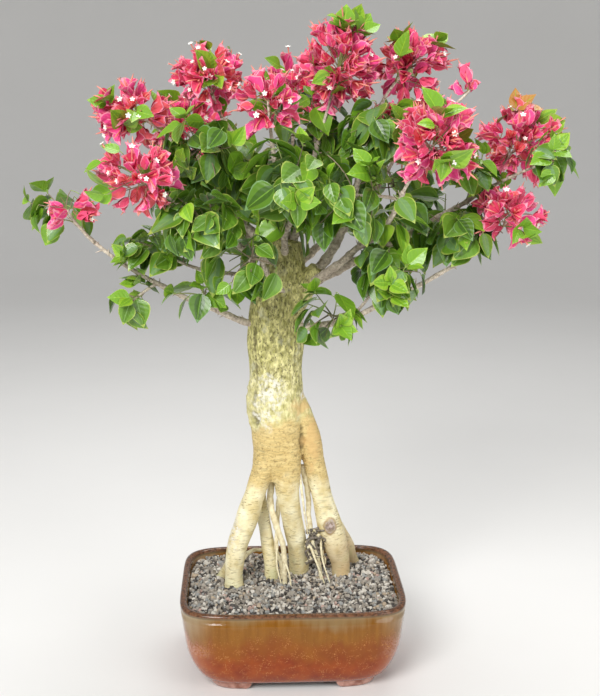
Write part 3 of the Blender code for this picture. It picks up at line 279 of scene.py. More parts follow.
class Pile:
    """Many small shapes of one kind, gathered to be joined into one mesh."""

    def __init__(self):
        self.points = []
        self.corners = []
        self.sizes = []
        self.slots = []
        self.maps = []
        self.count = 0

    def add(self, points, faces, slots=0, maps=None):
        """Adds shapes that share their faces.

        points is (shapes, points, 3), slots is one number or (shapes, faces), maps is (points, 2).
        """
        points = np.asarray(points, float)
        if points.ndim == 2:
            points = points[None]
        shapes, each, _ = points.shape
        starts = self.count + np.arange(shapes) * each
        self.points.append(points.reshape(-1, 3))
        self.corners.append((faces[None] + starts[:, None, None]).reshape(-1))
        self.sizes.append(np.full(shapes * len(faces), faces.shape[1]))
        self.slots.append(np.broadcast_to(slots, (shapes, len(faces))).reshape(-1))
        self.maps.append(np.tile(np.zeros((each, 2)) if maps is None else maps, (shapes, 1)))
        self.count += shapes * each

    def mesh(self, name, mapped=False):
        """All of it, smooth, moved from the pot's middle to the pot's place in the frame."""
        parts = (self.points, self.corners, self.sizes, self.slots, self.maps)
        points, corners, sizes, slots, maps = (np.concatenate(part) for part in parts)
        mesh = bpy.data.meshes.new(name)
        mesh.vertices.add(len(points))
        mesh.vertices.foreach_set("co", (points + SHIFT).ravel())
        mesh.loops.add(len(corners))
        mesh.loops.foreach_set("vertex_index", corners)
        mesh.polygons.add(len(sizes))
        mesh.polygons.foreach_set("loop_start", np.concatenate([[0], np.cumsum(sizes)[:-1]]))
        mesh.polygons.foreach_set("material_index", slots)
        set_smooth(mesh, True)
        mesh.update(calc_edges=True)
        if mapped:
            mesh.uv_layers.new(name=BLADE_MAP).data.foreach_set("uv", maps[corners].ravel())
        return mesh


def set_smooth(mesh, smooth):
    mesh.polygons.foreach_set("use_smooth", np.full(len(mesh.polygons), smooth))


def unit(vector):
    return vector / np.linalg.norm(vector)


def units(vectors):
    return vectors / np.linalg.norm(vectors, axis=-1, keepdims=True)


def add_object(name, mesh, finishes=()):
    made = bpy.data.objects.new(name, mesh)
    bpy.context.scene.collection.objects.link(made)
    for finish in finishes:
        mesh.materials.append(finish)
    return made


def place_piece(made, nodes, slot):
    """The piece rides with the plant and stands for the nodes."""
    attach(made, "root")
    if nodes:
        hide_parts(*nodes)


def add_piece(name, pile, finishes, nodes, slot, mapped=False):
    made = add_object(name, pile.mesh(name, mapped), finishes)
    place_piece(made, nodes, slot)
    return made


def turn_out(mesh):
    """Makes every face look outwards."""
    shape = bmesh.new()
    shape.from_mesh(mesh)
    bmesh.ops.recalc_face_normals(shape, faces=shape.faces[:])
    shape.to_mesh(mesh)
    shape.free()
    mesh.update()


def closed_object(name, pile, finishes=()):
    made = add_object(name, pile.mesh(name), finishes)
    turn_out(made.data)
    return made


def apply_modifiers(made):
    graph = bpy.context.evaluated_depsgraph_get()
    plain = made.data
    finished = bpy.data.meshes.new_from_object(made.evaluated_get(graph))
    made.modifiers.clear()
    made.data = finished
    finished.name = made.name
    bpy.data.meshes.remove(plain)


def discard(made):
    mesh = made.data
    bpy.data.objects.remove(made)
    if mesh.users == 0:
        bpy.data.meshes.remove(mesh)


def places_of(mesh):
    """Each vertex's place and normal."""
    places = np.empty(len(mesh.vertices) * 3)
    mesh.vertices.foreach_get("co", places)
    normals = np.empty(len(mesh.vertices) * 3)
    mesh.vertex_normals.foreach_get("vector", normals)
    return places.reshape(-1, 3), normals.reshape(-1, 3)


def noise_at(places, size, seed=0.0):
    """Smooth noise from -1 to 1 at each place; size is one number or one for each axis."""
    scaled = places / np.asarray(size, float) + seed
    return np.array([noise.noise(Vector(place)) for place in scaled])


# ---------------------------------------------------------------- paths and tubes


def smooth_path(stops, steps):
    """Catmull-Rom through the stops; each stop may carry more than a place."""
    stops = np.asarray(stops, float)
    padded = np.vstack([2 * stops[0] - stops[1], stops, 2 * stops[-1] - stops[-2]])
    found = []
    for i in range(len(stops) - 1):
        a, b, c, d = padded[i : i + 4]
        for t in np.linspace(0.0, 1.0, steps, endpoint=False):
            found.append(
                0.5 * (2 * b + (c - a) * t + (2 * a - 5 * b + 4 * c - d) * t**2)
                + 0.5 * (3 * b - a - 3 * c + d) * t**3
            )
    found.append(stops[-1])
    return np.array(found)


def run_along(path):
    """How far along the path each of its stops lies."""
    steps = np.linalg.norm(np.diff(path[:, :3], axis=0), axis=1)
    return np.concatenate([[0.0], np.cumsum(steps)])


def at_runs(path, at):
    """What the path carries at these distances along it."""
    run = run_along(path)
    return np.stack([np.interp(at, run, column) for column in path.T], axis=-1)


def along(path, share):
    """The place at a share of the path's length."""
    return at_runs(path, share * run_along(path)[-1])


def resampled(path, step):
    """The path with stops evenly spaced along it."""
    length = run_along(path)[-1]
    count = max(3, int(round(length / step)) + 1)
    return at_runs(path, np.linspace(0.0, length, count))


def grid_faces(rows, columns, around=True, closed=False):
    """Four-cornered faces over a grid of points. Each row may run round, and the last may join the first."""
    row = np.arange(rows if closed else rows - 1)[:, None]
    column = np.arange(columns if around else columns - 1)[None]
    here, beyond = row * columns, (row + 1) % rows * columns
    aside = (column + 1) % columns
    corners = (here + column, here + aside, beyond + aside, beyond + column)
    return np.stack(corners, axis=-1).reshape(-1, 4)


def ring_pile(rings, closed=False):
    """A pile that holds the sheet through the rings of points."""
    pile = Pile()
    pile.add(np.concatenate(rings), grid_faces(len(rings), len(rings[0]), closed=closed))
    return pile


def tube_rings(paths, radii, sides, flat=1.0):
    """Rings of points round many paths of the same number of stops."""
    radii = np.broadcast_to(radii, paths.shape[:2])
    tangents = units(np.gradient(paths, axis=1))
    mean = units(paths[:, -1] - paths[:, 0])
    guide = np.where(np.abs(mean[:, :1]) < 0.8, [[1.0, 0.0, 0.0]], [[0.0, 1.0, 0.0]])
    across = units(guide[:, None] - tangents * (tangents * guide[:, None]).sum(-1, keepdims=True))
    up = np.cross(tangents, across)
    angles = np.arange(sides) * 2.0 * math.pi / sides
    ring = across[:, :, None] * np.cos(angles)[:, None] + flat * up[:, :, None] * np.sin(angles)[:, None]
    rings = paths[:, :, None] + ring * radii[:, :, None, None]
    return rings.reshape(len(paths), -1, 3)


def add_tubes(pile, paths, radii, sides, slots):
    """Adds a tube round each path, open at its ends, with one slot for each."""
    pile.add(tube_rings(paths, radii, sides), grid_faces(paths.shape[1], sides), slots[:, None])


def bends(starts, ends, sides, stops):
    """Curved paths from starts to ends whose middles stand aside by the side vectors."""
    share = np.linspace(0.0, 1.0, stops)[None, :, None]
    straight = starts[:, None] * (1 - share) + ends[:, None] * share
    return straight + sides[:, None] * (4 * share * (1 - share))


# ---------------------------------------------------------------- materials


class Finish:
    """One material, with short ways to add nodes to it."""

    def __init__(self, name, colour, roughness, **settings):
        self.material = bpy.data.materials.new(name)
        self.material.use_nodes = True
        self.material.diffuse_color = (*colour, 1.0)
        self.tree = self.material.node_tree
        self.shader = self.tree.nodes["Principled BSDF"]
        self.show(base_color=colour, roughness=roughness, **settings)

    def show(self, **values):
        """Sets the shader's own sockets, or joins other nodes to them; ior_level stands for IOR Level."""
        for name, value in values.items():
            socket = name.replace("_", " ").title().replace("Ior", "IOR")
            self.feed(self.shader.inputs[socket], value)

    def add(self, kind, **settings):
        node = self.tree.nodes.new(kind)
        for name, value in settings.items():
            setattr(node, name, value)
        return node

    def feed(self, target, value):
        """A number or colour sets the socket, and another node's socket is joined to it."""
        if isinstance(value, bpy.types.NodeSocket):
            self.tree.links.new(value, target)
        elif isinstance(value, tuple) and target.type == "RGBA":
            target.default_value = (*value, 1.0)
        else:
            target.default_value = value

    def texture(self, kind, output, inputs, **settings):
        """A texture node's output, with its inputs fed."""
        node = self.add(kind, **settings)
        for name, value in inputs.items():
            self.feed(node.inputs[name], value)
        return node.outputs[output]

    def place(self):
        return self.add("ShaderNodeTexCoord").outputs["Object"]

    def stretched(self, *scale):
        """Object coordinates scaled by one number for each axis."""
        return self.texture("ShaderNodeMapping", "Vector", {"Vector": self.place(), "Scale": scale})

    def noise(self, scale, detail=4.0, vector=None, roughness=0.55):
        inputs = {"Vector": vector or self.place(), "Scale": scale, "Detail": detail, "Roughness": roughness}
        return self.texture("ShaderNodeTexNoise", "Fac", inputs)

    def cells(self, scale):
        return self.texture("ShaderNodeTexVoronoi", "Distance", {"Vector": self.place(), "Scale": scale})

    def axes(self, vector=None):
        split = self.add("ShaderNodeSeparateXYZ")
        self.feed(split.inputs[0], vector or self.place())
        return split.outputs

    def attribute(self, name):
        return self.add("ShaderNodeAttribute", attribute_name=name).outputs["Fac"]

    def maths(self, operation, first, second=0.0):
        node = self.add("ShaderNodeMath", operation=operation)
        self.feed(node.inputs[0], first)
        self.feed(node.inputs[1], second)
        return node.outputs[0]

    def times(self, *values):
        found = values[0]
        for value in values[1:]:
            found = self.maths("MULTIPLY", found, value)
        return found

    def plus(self, *values):
        found = values[0]
        for value in values[1:]:
            found = self.maths("ADD", found, value)
        return found

    def swing(self, value, reach):
        """The value moved to swing about 0, its whole reach changed to this."""
        return self.times(self.maths("SUBTRACT", value, 0.5), reach)

    def ramp(self, value, low, high, smooth=False):
        """0 at low and 1 at high, so it falls where low is the larger number."""
        inputs = {"Value": value, "From Min": low, "From Max": high}
        kind = "SMOOTHSTEP" if smooth else "LINEAR"
        return self.texture("ShaderNodeMapRange", "Result", inputs, interpolation_type=kind)

    def mix(self, share, first, second):
        node = self.add("ShaderNodeMix", data_type="RGBA")
        self.feed(node.inputs["Factor"], share)
        self.feed(node.inputs[6], first)
        self.feed(node.inputs[7], second)
        return node.outputs[2]

    def patches(self, scale, detail, low, high):
        """0 to 1 where noise of that scale rises from low to high."""
        return self.ramp(self.noise(scale, detail), low, high)

    def layers(self, tone, *layers):
        """Lays each share of a tone over what is there."""
        for share, colour in layers:
            tone = self.mix(share, tone, colour)
        return tone

    def bump(self, value, strength, distance, under=None):
        inputs = {"Height": value, "Strength": strength, "Distance": distance}
        if under:
            inputs["Normal"] = under
        return self.texture("ShaderNodeBump", "Normal", inputs)


# ---------------------------------------------------------------- pot

PLAN_POINTS = 144
PLAN_FINE = 1441  # points of the plan's curve before they are evenly spaced
WALL_ROWS = 26
WALL_CROWDING = 1.5  # how far the rows of points draw together near the base
RIM_STEPS = 7  # rows of points over the lip
LIP_SQUARE = 0.8
BASE_INSETS = (0.060, 0.030, 0.003)
INSIDE_HEIGHTS = (POT_HEIGHT - LIP, 0.094, 0.088, 0.080)
FOOT_DEPTH = 0.016
FOOT_OVERLAP = 0.002
FOOT_TOP = FOOT_HEIGHT + FOOT_OVERLAP
# Section of the low wall from which the feet are cut: how far in it lies, and its height.
FOOT_PROFILE = (
    (0.0046, 0.0), (0.0026, 0.0008), (0.0012, 0.004),
    (0.0, FOOT_TOP), (FOOT_DEPTH, FOOT_TOP), (FOOT_DEPTH, 0.0),
)
LONG_ARCH = (0.185, 0.262)
SHORT_ARCH = (0.160, 0.240)
ARCH_STEPS = 9
SHARP_EDGE = 50  # degrees


def plan_ring(half_length, half_depth, height):
    """One ring of the pot's plan, a rectangle with round corners, its points evenly spaced."""
    angles = np.linspace(0.0, 2.0 * math.pi, PLAN_FINE)
    x, y = (
        half * np.sign(way) * np.abs(way) ** (2.0 / CORNER_SQUARE)
        for half, way in ((half_length, np.cos(angles)), (half_depth, np.sin(angles)))
    )
    line = np.stack([x, y, np.full_like(x, height)], axis=1)
    return at_runs(line, np.linspace(0.0, run_along(line)[-1], PLAN_POINTS, endpoint=False))


def wall_share(height):
    """The outside wall's plan at a height, as a share of the rim's."""
    if height >= SHOULDER_HEIGHT:
        up = (height - SHOULDER_HEIGHT) / (POT_HEIGHT - SHOULDER_HEIGHT)
        return SHOULDER_SHARE + (1.0 - SHOULDER_SHARE) * up**RIM_FLARE
    down = (SHOULDER_HEIGHT - height) / (SHOULDER_HEIGHT - FOOT_HEIGHT)
    bulge = max(0.0, 1.0 - down**SHOULDER_ROUND) ** (1.0 / SHOULDER_ROUND)
    return BASE_SHARE + (SHOULDER_SHARE - BASE_SHARE) * bulge


def wall_ring(height, inset):
    share = wall_share(height)
    return plan_ring(POT_LENGTH / 2 * share - inset, POT_DEPTH / 2 * share - inset, height)


def pot_rings():
    """From the middle of the base up the outside, over the rim and down the inside to the gravel."""
    base = [wall_ring(FOOT_HEIGHT, inset) for inset in BASE_INSETS]
    rows = np.linspace(0.0, 1.0, WALL_ROWS) ** WALL_CROWDING
    outside = [wall_ring(height, 0.0) for height in FOOT_HEIGHT + (POT_HEIGHT - LIP - FOOT_HEIGHT) * rows]
    rim = []
    for angle in np.linspace(0.0, math.pi, RIM_STEPS)[1:-1]:
        inset = POT_WALL / 2 * (1.0 - math.cos(angle))
        rim.append(wall_ring(POT_HEIGHT - LIP + LIP * math.sin(angle) ** LIP_SQUARE, inset))
    return base + outside + rim + [wall_ring(height, POT_WALL) for height in INSIDE_HEIGHTS]


def foot_pile():
    """The low wall under the base from which the four feet are cut."""
    half_length, half_depth = POT_LENGTH / 2 * BASE_SHARE, POT_DEPTH / 2 * BASE_SHARE
    rings = [plan_ring(half_length - inset, half_depth - inset, height) for inset, height in FOOT_PROFILE]
    return ring_pile(rings, closed=True)


def arch_object(side, shares, along_x):
    """A long bar of scalloped section that opens the space between two feet."""
    half_high, half_low = (side * share for share in shares)
    section = []
    for angle in np.linspace(0.0, math.pi / 2, ARCH_STEPS):
        reach = half_low + (half_high - half_low) * math.sin(angle)
        section.append((reach, FOOT_HEIGHT * (1.0 - math.cos(angle)) - FOOT_OVERLAP * math.cos(angle)))
    section += [(-reach, z) for reach, z in reversed(section)]
    ends = []
    for end in (-POT_LENGTH, POT_LENGTH):
        ends.append([(end, s, z) if along_x else (s, end, z) for s, z in section])
    count = len(section)
    caps = [tuple(range(count))[::-1], tuple(range(count, 2 * count))]
    mesh = bpy.data.meshes.new("arch")
    mesh.from_pydata((np.concatenate(ends) + SHIFT).tolist(), [], caps + grid_faces(2, count).tolist())
    turn_out(mesh)
    return add_object("arch", mesh)


def cut_away(made, cutter):
    cut = made.modifiers.new("cut", "BOOLEAN")
    cut.operation = "DIFFERENCE"
    cut.object = cutter
    cut.solver = "EXACT"
    apply_modifiers(made)
    discard(cutter)


def join_into(body, extra):
    shape = bmesh.new()
    shape.from_mesh(body.data)
    shape.from_mesh(extra.data)
    for face in shape.faces:
        face.smooth = True
        face.material_index = 0
    shape.to_mesh(body.data)
    shape.free()
    discard(extra)
    body.data.set_sharp_from_angle(angle=math.radians(SHARP_EDGE))


def glaze_body(glaze, height, streaks):
    """Rust red below, orange above it, amber higher up and grey-brown where the glaze ran off the rim."""
    lower = glaze.mix(glaze.patches(48.0, 6.0, 0.35, 0.65), (0.215, 0.028, 0.003), (0.320, 0.062, 0.006))
    middle = glaze.mix(glaze.patches(30.0, 4.0, 0.35, 0.65), (0.205, 0.044, 0.003), (0.255, 0.076, 0.005))
    upper = glaze.mix(glaze.ramp(streaks, 0.35, 0.65), (0.195, 0.072, 0.004), (0.250, 0.098, 0.008))
    return glaze.layers(
        lower,
        (glaze.ramp(height, 0.034, 0.060, True), middle),
        (glaze.ramp(height, 0.060, 0.080, True), upper),
        (glaze.times(glaze.ramp(height, 0.084, 0.100, True), 0.60), (0.230, 0.180, 0.095)),
    )


def corner_painted_reflection(glaze, axes, height):
    """The round corners lightened as a painted reflection of the lights: grey-green above, pinkish below,
    with a band of painted glints between.
    """
    long_end = glaze.ramp(glaze.maths("ABSOLUTE", axes["X"]), 0.085, 0.125, True)
    short_end = glaze.ramp(glaze.maths("ABSOLUTE", axes["Y"]), 0.040, 0.085, True)
    corner = glaze.times(long_end, short_end)
    above = glaze.times(corner, glaze.ramp(height, 0.058, 0.092, True), 0.65)
    below = glaze.times(corner, glaze.ramp(height, 0.070, 0.045, True), 0.55)
    band = glaze.times(glaze.ramp(height, 0.042, 0.054, True), glaze.ramp(height, 0.076, 0.062, True))
    # Glints of the lights painted in a band across the corners.
    painted_glints = glaze.times(corner, band, glaze.patches(620.0, 4.0, 0.40, 0.60), 0.65)
    return (above, (0.400, 0.330, 0.220)), (below, (0.500, 0.200, 0.110)), (painted_glints, (0.640, 0.380, 0.300))


def glaze_details(glaze, up, height):
    """Gold specks, the dark rim with a line under it, and the paler feet."""
    specks = glaze.times(glaze.ramp(glaze.cells(620.0), 0.34, 0.18), glaze.patches(130.0, 3.0, 0.46, 0.62))
    speck = glaze.times(specks, glaze.ramp(height, 0.085, 0.062), 0.9)
    rim_tone = glaze.mix(glaze.patches(300.0, 5.0, 0.36, 0.62), (0.055, 0.024, 0.012), (0.200, 0.088, 0.042))
    line = glaze.times(glaze.ramp(up, 0.0945, 0.0956), glaze.ramp(up, 0.0972, 0.0962), 0.55)
    foot = glaze.times(glaze.ramp(up, 0.0125, 0.0085, True), 0.85)
    foot_tone = glaze.mix(glaze.patches(120.0, 5.0, 0.36, 0.62), (0.260, 0.110, 0.075), (0.560, 0.330, 0.270))
    return (
        (speck, (0.62, 0.30, 0.085)),
        (glaze.ramp(up, 0.0962, 0.0972, True), rim_tone),
        (line, (0.050, 0.042, 0.030)),
        (foot, foot_tone),
    )


def glaze_finish():
    """The pot's glaze: a tone by its height, which waves and streaks move, under a smooth coat."""
    coat = {"coat_weight": 0.55, "coat_roughness": 0.06, "specular_ior_level": 0.15}
    glaze = Finish("glaze", (0.2, 0.06, 0.02), 0.12, **coat)
    axes = glaze.axes()
    streaks = glaze.noise(1.0, 4.0, glaze.stretched(150.0, 150.0, 9.0))
    height = glaze.plus(axes["Z"], glaze.swing(glaze.noise(11.0, 3.0), 0.050), glaze.swing(streaks, 0.022))
    body = glaze_body(glaze, height, streaks)
    # Over the body go the corners' painted reflection and the glaze's details.
    tone = glaze.layers(body, *corner_painted_reflection(glaze, axes, height), *glaze_details(glaze, axes["Z"], height))
    rough = glaze.plus(glaze.times(glaze.noise(60.0, 5.0), 0.14), 0.05)
    dimples = glaze.bump(glaze.noise(420.0, 3.0), 0.14, 0.0006)
    swelling = glaze.bump(glaze.noise(26.0, 2.0), 0.15, 0.004, dimples)
    relief = glaze.bump(glaze.ramp(axes["Z"], 0.0945, 0.0850, True), 1.0, 0.0040, swelling)
    glaze.show(base_color=tone, roughness=rough, normal=relief, coat_normal=relief)
    return glaze.material


def build_pot():
    body = closed_object("pot_glazed", ring_pile(pot_rings()), [glaze_finish()])
    feet = closed_object("feet", foot_pile())
    cut_away(feet, arch_object(POT_LENGTH, LONG_ARCH, along_x=False))
    cut_away(feet, arch_object(POT_DEPTH, SHORT_ARCH, along_x=True))
    join_into(body, feet)
    place_piece(body, ["pot"], "glazed_ceramic")


# ---------------------------------------------------------------- gravel

GRAIN_SIZES = (0.0036, 0.0066)
GRAIN_SPACING = 0.0037
ROW_SPACING = GRAIN_SPACING * 0.87
GRAIN_JITTER = 0.28
GRAIN_KINDS = 12
GRAIN_CORNERS = 14
GRAIN_LIFT = 0.0008
LARGE_GRAINS = 0.06  # share of the stones
LARGE_GRAIN = 1.45  # times the size of the rest
BED_DROP = 0.0024
BED_SCALES = (0.01, 0.4, 0.7, SOIL_TOP_SHARE, 0.92, 1.0)
EDGE_HEAP = 0.0015  # how far the stones stand up at the wall
LEG_CLEAR = 0.92  # share of a leg's radius that is free of stones
WALL_CLEAR = 0.985
SOIL_HALVES = np.array([POT_LENGTH, POT_DEPTH]) / 2 * wall_share(SOIL_EDGE) - POT_WALL
# Each tone and the share of the stones that have it.
GRAIN_TONES = {
    "grain_mid": ((0.320, 0.285, 0.240), 0.36),
    "grain_light": ((0.60, 0.56, 0.49), 0.24),
    "grain_dark": ((0.080, 0.070, 0.062), 0.18),
    "grain_cool": ((0.30, 0.30, 0.285), 0.14),
    "grain_pink": ((0.46, 0.32, 0.27), 0.04),
    "grain_tan": ((0.44, 0.35, 0.25), 0.04),
}


def gravel_tester():
    """A finder of the gravel solid's surface, in the frame."""
    mesh = frame["nodes"]["gravel_soil"].data
    places = [tuple(vert.co) for vert in mesh.vertices]
    return BVHTree.FromPolygons(places, [tuple(face.vertices) for face in mesh.polygons])


def gravel_top(places, tester):
    """The height of the solid's lumpy top under each place."""
    heights = []
    for x, y in places:
        start = Vector((x + SHIFT[0], y + SHIFT[1], 2.0 * POT_HEIGHT))
        hit = tester.ray_cast(start, Vector((0.0, 0.0, -1.0)))[0]
        heights.append(hit.z if hit else SOIL_EDGE)
    return np.array(heights)


def grain_shape(rng):
    """An angular stone, the hull of a few random corners."""
    shape = bmesh.new()
    directions = units(rng.normal(size=(GRAIN_CORNERS, 3)))
    for direction in directions * rng.uniform(0.78, 1.05, size=(GRAIN_CORNERS, 1)):
        shape.verts.new(direction)
    hull = bmesh.ops.convex_hull(shape, input=shape.verts[:])
    loose = [item for item in hull["geom_interior"] if isinstance(item, bmesh.types.BMVert)]
    bmesh.ops.delete(shape, geom=loose, context="VERTS")
    shape.verts.index_update()
    points = np.array([vert.co for vert in shape.verts])
    faces = np.array([[vert.index for vert in face.verts] for face in shape.faces])
    shape.free()
    return points, faces


def random_turns(count, rng):
    """Evenly random rotations as matrices."""
    w, x, y, z = units(rng.normal(size=(count, 4))).T
    rows = [
        [1 - 2 * (y * y + z * z), 2 * (x * y - z * w), 2 * (x * z + y * w)],
        [2 * (x * y + z * w), 1 - 2 * (x * x + z * z), 2 * (y * z - x * w)],
        [2 * (x * z - y * w), 2 * (y * z + x * w), 1 - 2 * (x * x + y * y)],
    ]
    return np.array(rows).transpose(2, 0, 1)


def stone_finish(name, colour):
    stone = Finish(name, colour, 0.85)
    rough = stone.plus(stone.times(stone.noise(900.0, 3.0), 0.3), 0.62)
    stone.show(roughness=rough, normal=stone.bump(stone.noise(1400.0, 4.0), 0.5, 0.0004))
    return stone.material


def leg_feet():
    """Where each leg and root stands in the gravel, and its radius there."""
    feet = [(x, y, radius) for x, y, _, radius in (stations[-1] for stations in LEGS.values())]
    ends = [stops[-1] for stops in AERIAL_ROOTS.values()]
    return feet + [(x, y, AERIAL_RADIUS) for x, y, z in ends if z == SOIL_TOP]


def stone_places(rng, tester):
    """A jittered grid of places on the gravel's top, clear of the legs and of the wall."""
    xs = np.arange(-POT_LENGTH / 2, POT_LENGTH / 2, GRAIN_SPACING)
    ys = np.arange(-POT_DEPTH / 2, POT_DEPTH / 2, ROW_SPACING)
    grid = np.array([(x + GRAIN_SPACING / 2 * (row % 2), y) for row, y in enumerate(ys) for x in xs])
    grid += rng.normal(size=grid.shape) * GRAIN_SPACING * GRAIN_JITTER
    top = np.maximum(gravel_top(grid, tester), SOIL_EDGE + EDGE_HEAP)
    out = (np.abs(grid / SOIL_HALVES) ** CORNER_SQUARE).sum(axis=1) ** (1.0 / CORNER_SQUARE)
    clear = out < WALL_CLEAR
    for x, y, radius in leg_feet():
        clear &= np.hypot(grid[:, 0] - x, grid[:, 1] - y) > radius * LEG_CLEAR
    return grid[clear], top[clear]


def lay_stones(pile, rng, tester):
    grid, top = stone_places(rng, tester)
    count = len(grid)
    sizes = rng.uniform(*GRAIN_SIZES, size=count)
    sizes *= np.where(rng.random(count) < LARGE_GRAINS, LARGE_GRAIN, 1.0)
    lift = rng.normal(size=count) * GRAIN_LIFT - BED_DROP * 0.35
    middles = np.column_stack([grid, top + lift])
    tones = rng.choice(len(GRAIN_TONES), size=count, p=[share for _, share in GRAIN_TONES.values()])
    kinds = rng.integers(0, GRAIN_KINDS, size=count)
    for kind in range(GRAIN_KINDS):
        points, faces = grain_shape(rng)
        chosen = np.flatnonzero(kinds == kind)
        stretch = rng.uniform(0.75, 1.2, size=(len(chosen), 1, 3))
        turned = np.einsum("nij,npj->npi", random_turns(len(chosen), rng), points[None] * stretch)
        pile.add(turned * sizes[chosen, None, None] / 2 + middles[chosen, None], faces, tones[chosen, None])


def build_gravel():
    """Angular stones laid close over a dark bed that shows as painted shade in the gaps, a few of them
    larger.
    """
    tester = gravel_tester()
    pile = Pile()
    lay_stones(pile, np.random.default_rng(FIRST_SEED + 300), tester)
    rings = []
    for scale in BED_SCALES:
        ring = plan_ring(*SOIL_HALVES * scale, 0.0)
        ring[:, 2] = gravel_top(ring[:, :2] * 0.999, tester) - BED_DROP
        rings.append(ring)
    # The bed takes the darkest stone tone, a painted shade between the stones.
    dark = list(GRAIN_TONES).index("grain_dark")
    pile.add(np.concatenate(rings[::-1]), grid_faces(len(rings), PLAN_POINTS), dark)
    finishes = [stone_finish(name, tone) for name, (tone, _) in GRAIN_TONES.items()]
    made = add_piece("gravel_stones", pile, finishes, ["gravel_soil"], "gravel")
    set_smooth(made.data, False)


# ---------------------------------------------------------------- trunk and legs

TRUNK_VOXEL = 0.00124
TRUNK_SOFTENING = 6
TRUNK_SIDES = 36
LEG_SIDES = 28
STUB_SIDES = 24
BARK_LUMP = 0.0016
BARK_LUMP_SIZE = 0.030
BARK_SWELLS = 0.0009
BARK_GRAIN = 0.00018
PIT_DEPTH = 0.00075
CRACK_DEPTH = 0.00060
SCAR_KNOBS = 0.0022
PATH_STEPS = 8
TUBE_END = 1e-5  # how far a closed tube's last point stands out, and its radius


def capped_tube(pile, stops, sides, flat=1.0):
    """A closed tube through stops of x, y, z and radius: its ends draw in to a point."""
    path = np.vstack([stops[:1, :3], stops[:, :3], stops[-1:, :3]])
    radii = np.concatenate([[TUBE_END], stops[:, 3], [TUBE_END]])
    path[0] -= unit(path[2] - path[1]) * TUBE_END
    path[-1] += unit(path[-2] - path[-3]) * TUBE_END
    pile.add(tube_rings(path[None], radii[None], sides, flat), grid_faces(len(path), sides))


def dashes(places, size, seed, low, high):
    """0 to 1 where smooth noise of that grain rises from low to high."""
    return np.clip((noise_at(places, size, seed) - low) / (high - low), 0.0, 1.0)


class Mark(NamedTuple):
    """A place on the bark's front: an ellipse in x and z, how deep it is sunk, and what it shows.

    ragged is how far noise moves its outline, as a share of its size.
    """

    shows: str
    x: float
    z: float
    wide: float
    high: float
    depth: float
    ragged: float = 0.7


MARKS = (
    # The hollows are sunk a little and darkened as painted shade.
    Mark("hollow_shade", -0.0405, 0.385, 0.0030, 0.020, 0.0012),
    Mark("hollow_shade", -0.0395, 0.350, 0.0026, 0.022, 0.0012),
    Mark("hollow_shade", -0.0400, 0.320, 0.0020, 0.016, 0.0012),
    Mark("hollow_shade", -0.0395, 0.291, 0.0040, 0.012, 0.0036),
    Mark("hollow_shade", 0.0120, 0.268, 0.0026, 0.026, 0.0016),
    Mark("hollow_shade", 0.0366, 0.127, 0.0060, 0.014, 0.0034),
    Mark("scar", 0.0446, 0.161, 0.0085, 0.0105, -0.0022, 0.22),
    Mark("bulge", -0.0480, 0.306, 0.0130, 0.028, -0.0050, 0.3),
    Mark("peach", 0.0117, 0.306, 0.0130, 0.012, 0.0),
    Mark("peach", 0.0230, 0.262, 0.0110, 0.034, 0.0),
    Mark("white", -0.0240, 0.324, 0.0190, 0.026, 0.0),
    Mark("white", -0.0300, 0.296, 0.0120, 0.016, 0.0),
    Mark("white", 0.0160, 0.318, 0.0080, 0.008, 0.0),
    Mark("white", -0.0690, 0.165, 0.0110, 0.026, 0.0),
)
MARK_FRONT = 0.022  # marks lie on what faces forward of this y


def mark_shares(places):
    """For each thing that marks show, 0 to 1 at each place, and how far the marks sink the bark."""
    shown = {mark.shows: np.zeros(len(places)) for mark in MARKS}
    sunk = np.zeros(len(places))
    ragged = noise_at(places, 0.009, 21.0) + 0.5 * noise_at(places, 0.003, 23.0)
    facing = np.clip((MARK_FRONT - places[:, 1]) / 0.008, 0.0, 1.0)
    for mark in MARKS:
        out = np.hypot((places[:, 0] - mark.x) / mark.wide, (places[:, 2] - mark.z) / mark.high)
        share = np.clip(1.6 * (1.0 - out - mark.ragged * ragged), 0.0, 1.0) * facing
        shown[mark.shows] = np.maximum(shown[mark.shows], share)
        sunk += mark.depth * share
    return shown, sunk


def trunk_relief(places):
    """How far the bark stands out, and what it shows: pitted upright above, cracked across below."""
    height = places[:, 2] + 0.02 * noise_at(places, 0.03, 2.0)
    upper = np.clip((height - 0.290) / 0.06, 0.0, 1.0)
    lower = np.clip((0.330 - height) / 0.06, 0.0, 1.0)
    ochre = np.clip(1.0 - np.abs(height - 0.250) / 0.045, 0.0, 1.0)
    pits = dashes(places, (0.0027, 0.0027, 0.0066), 3.0, 0.05, 0.45)
    pits = np.maximum(pits, 0.7 * dashes(places, (0.0021, 0.0021, 0.0044), 9.0, 0.10, 0.45))
    cracks = dashes(places, (0.0090, 0.0090, 0.0020), 5.0, 0.16, 0.42)
    bare = dashes(places, 0.016, 6.0, -0.10, 0.35)
    cracks = cracks * np.maximum(0.8 * ochre, 0.75 * bare)
    swells = noise_at(places, (0.022, 0.022, 0.045), 7.0)
    grain = noise_at(places, (0.0026, 0.0026, 0.0030), 11.0)
    shown, marked = mark_shares(places)
    sunk = upper * pits * PIT_DEPTH + lower * cracks * CRACK_DEPTH
    # Pits and cracks take the hollows' dark tone as deep as they sink: painted shade.
    shown["hollow_shade"] = np.maximum(shown["hollow_shade"], 0.55 * np.clip(sunk / 0.0006, 0.0, 1.0))
    knobs = shown["scar"] * noise_at(places, 0.0040, 31.0) * SCAR_KNOBS
    return swells * BARK_SWELLS + grain * BARK_GRAIN + knobs - sunk - marked, shown


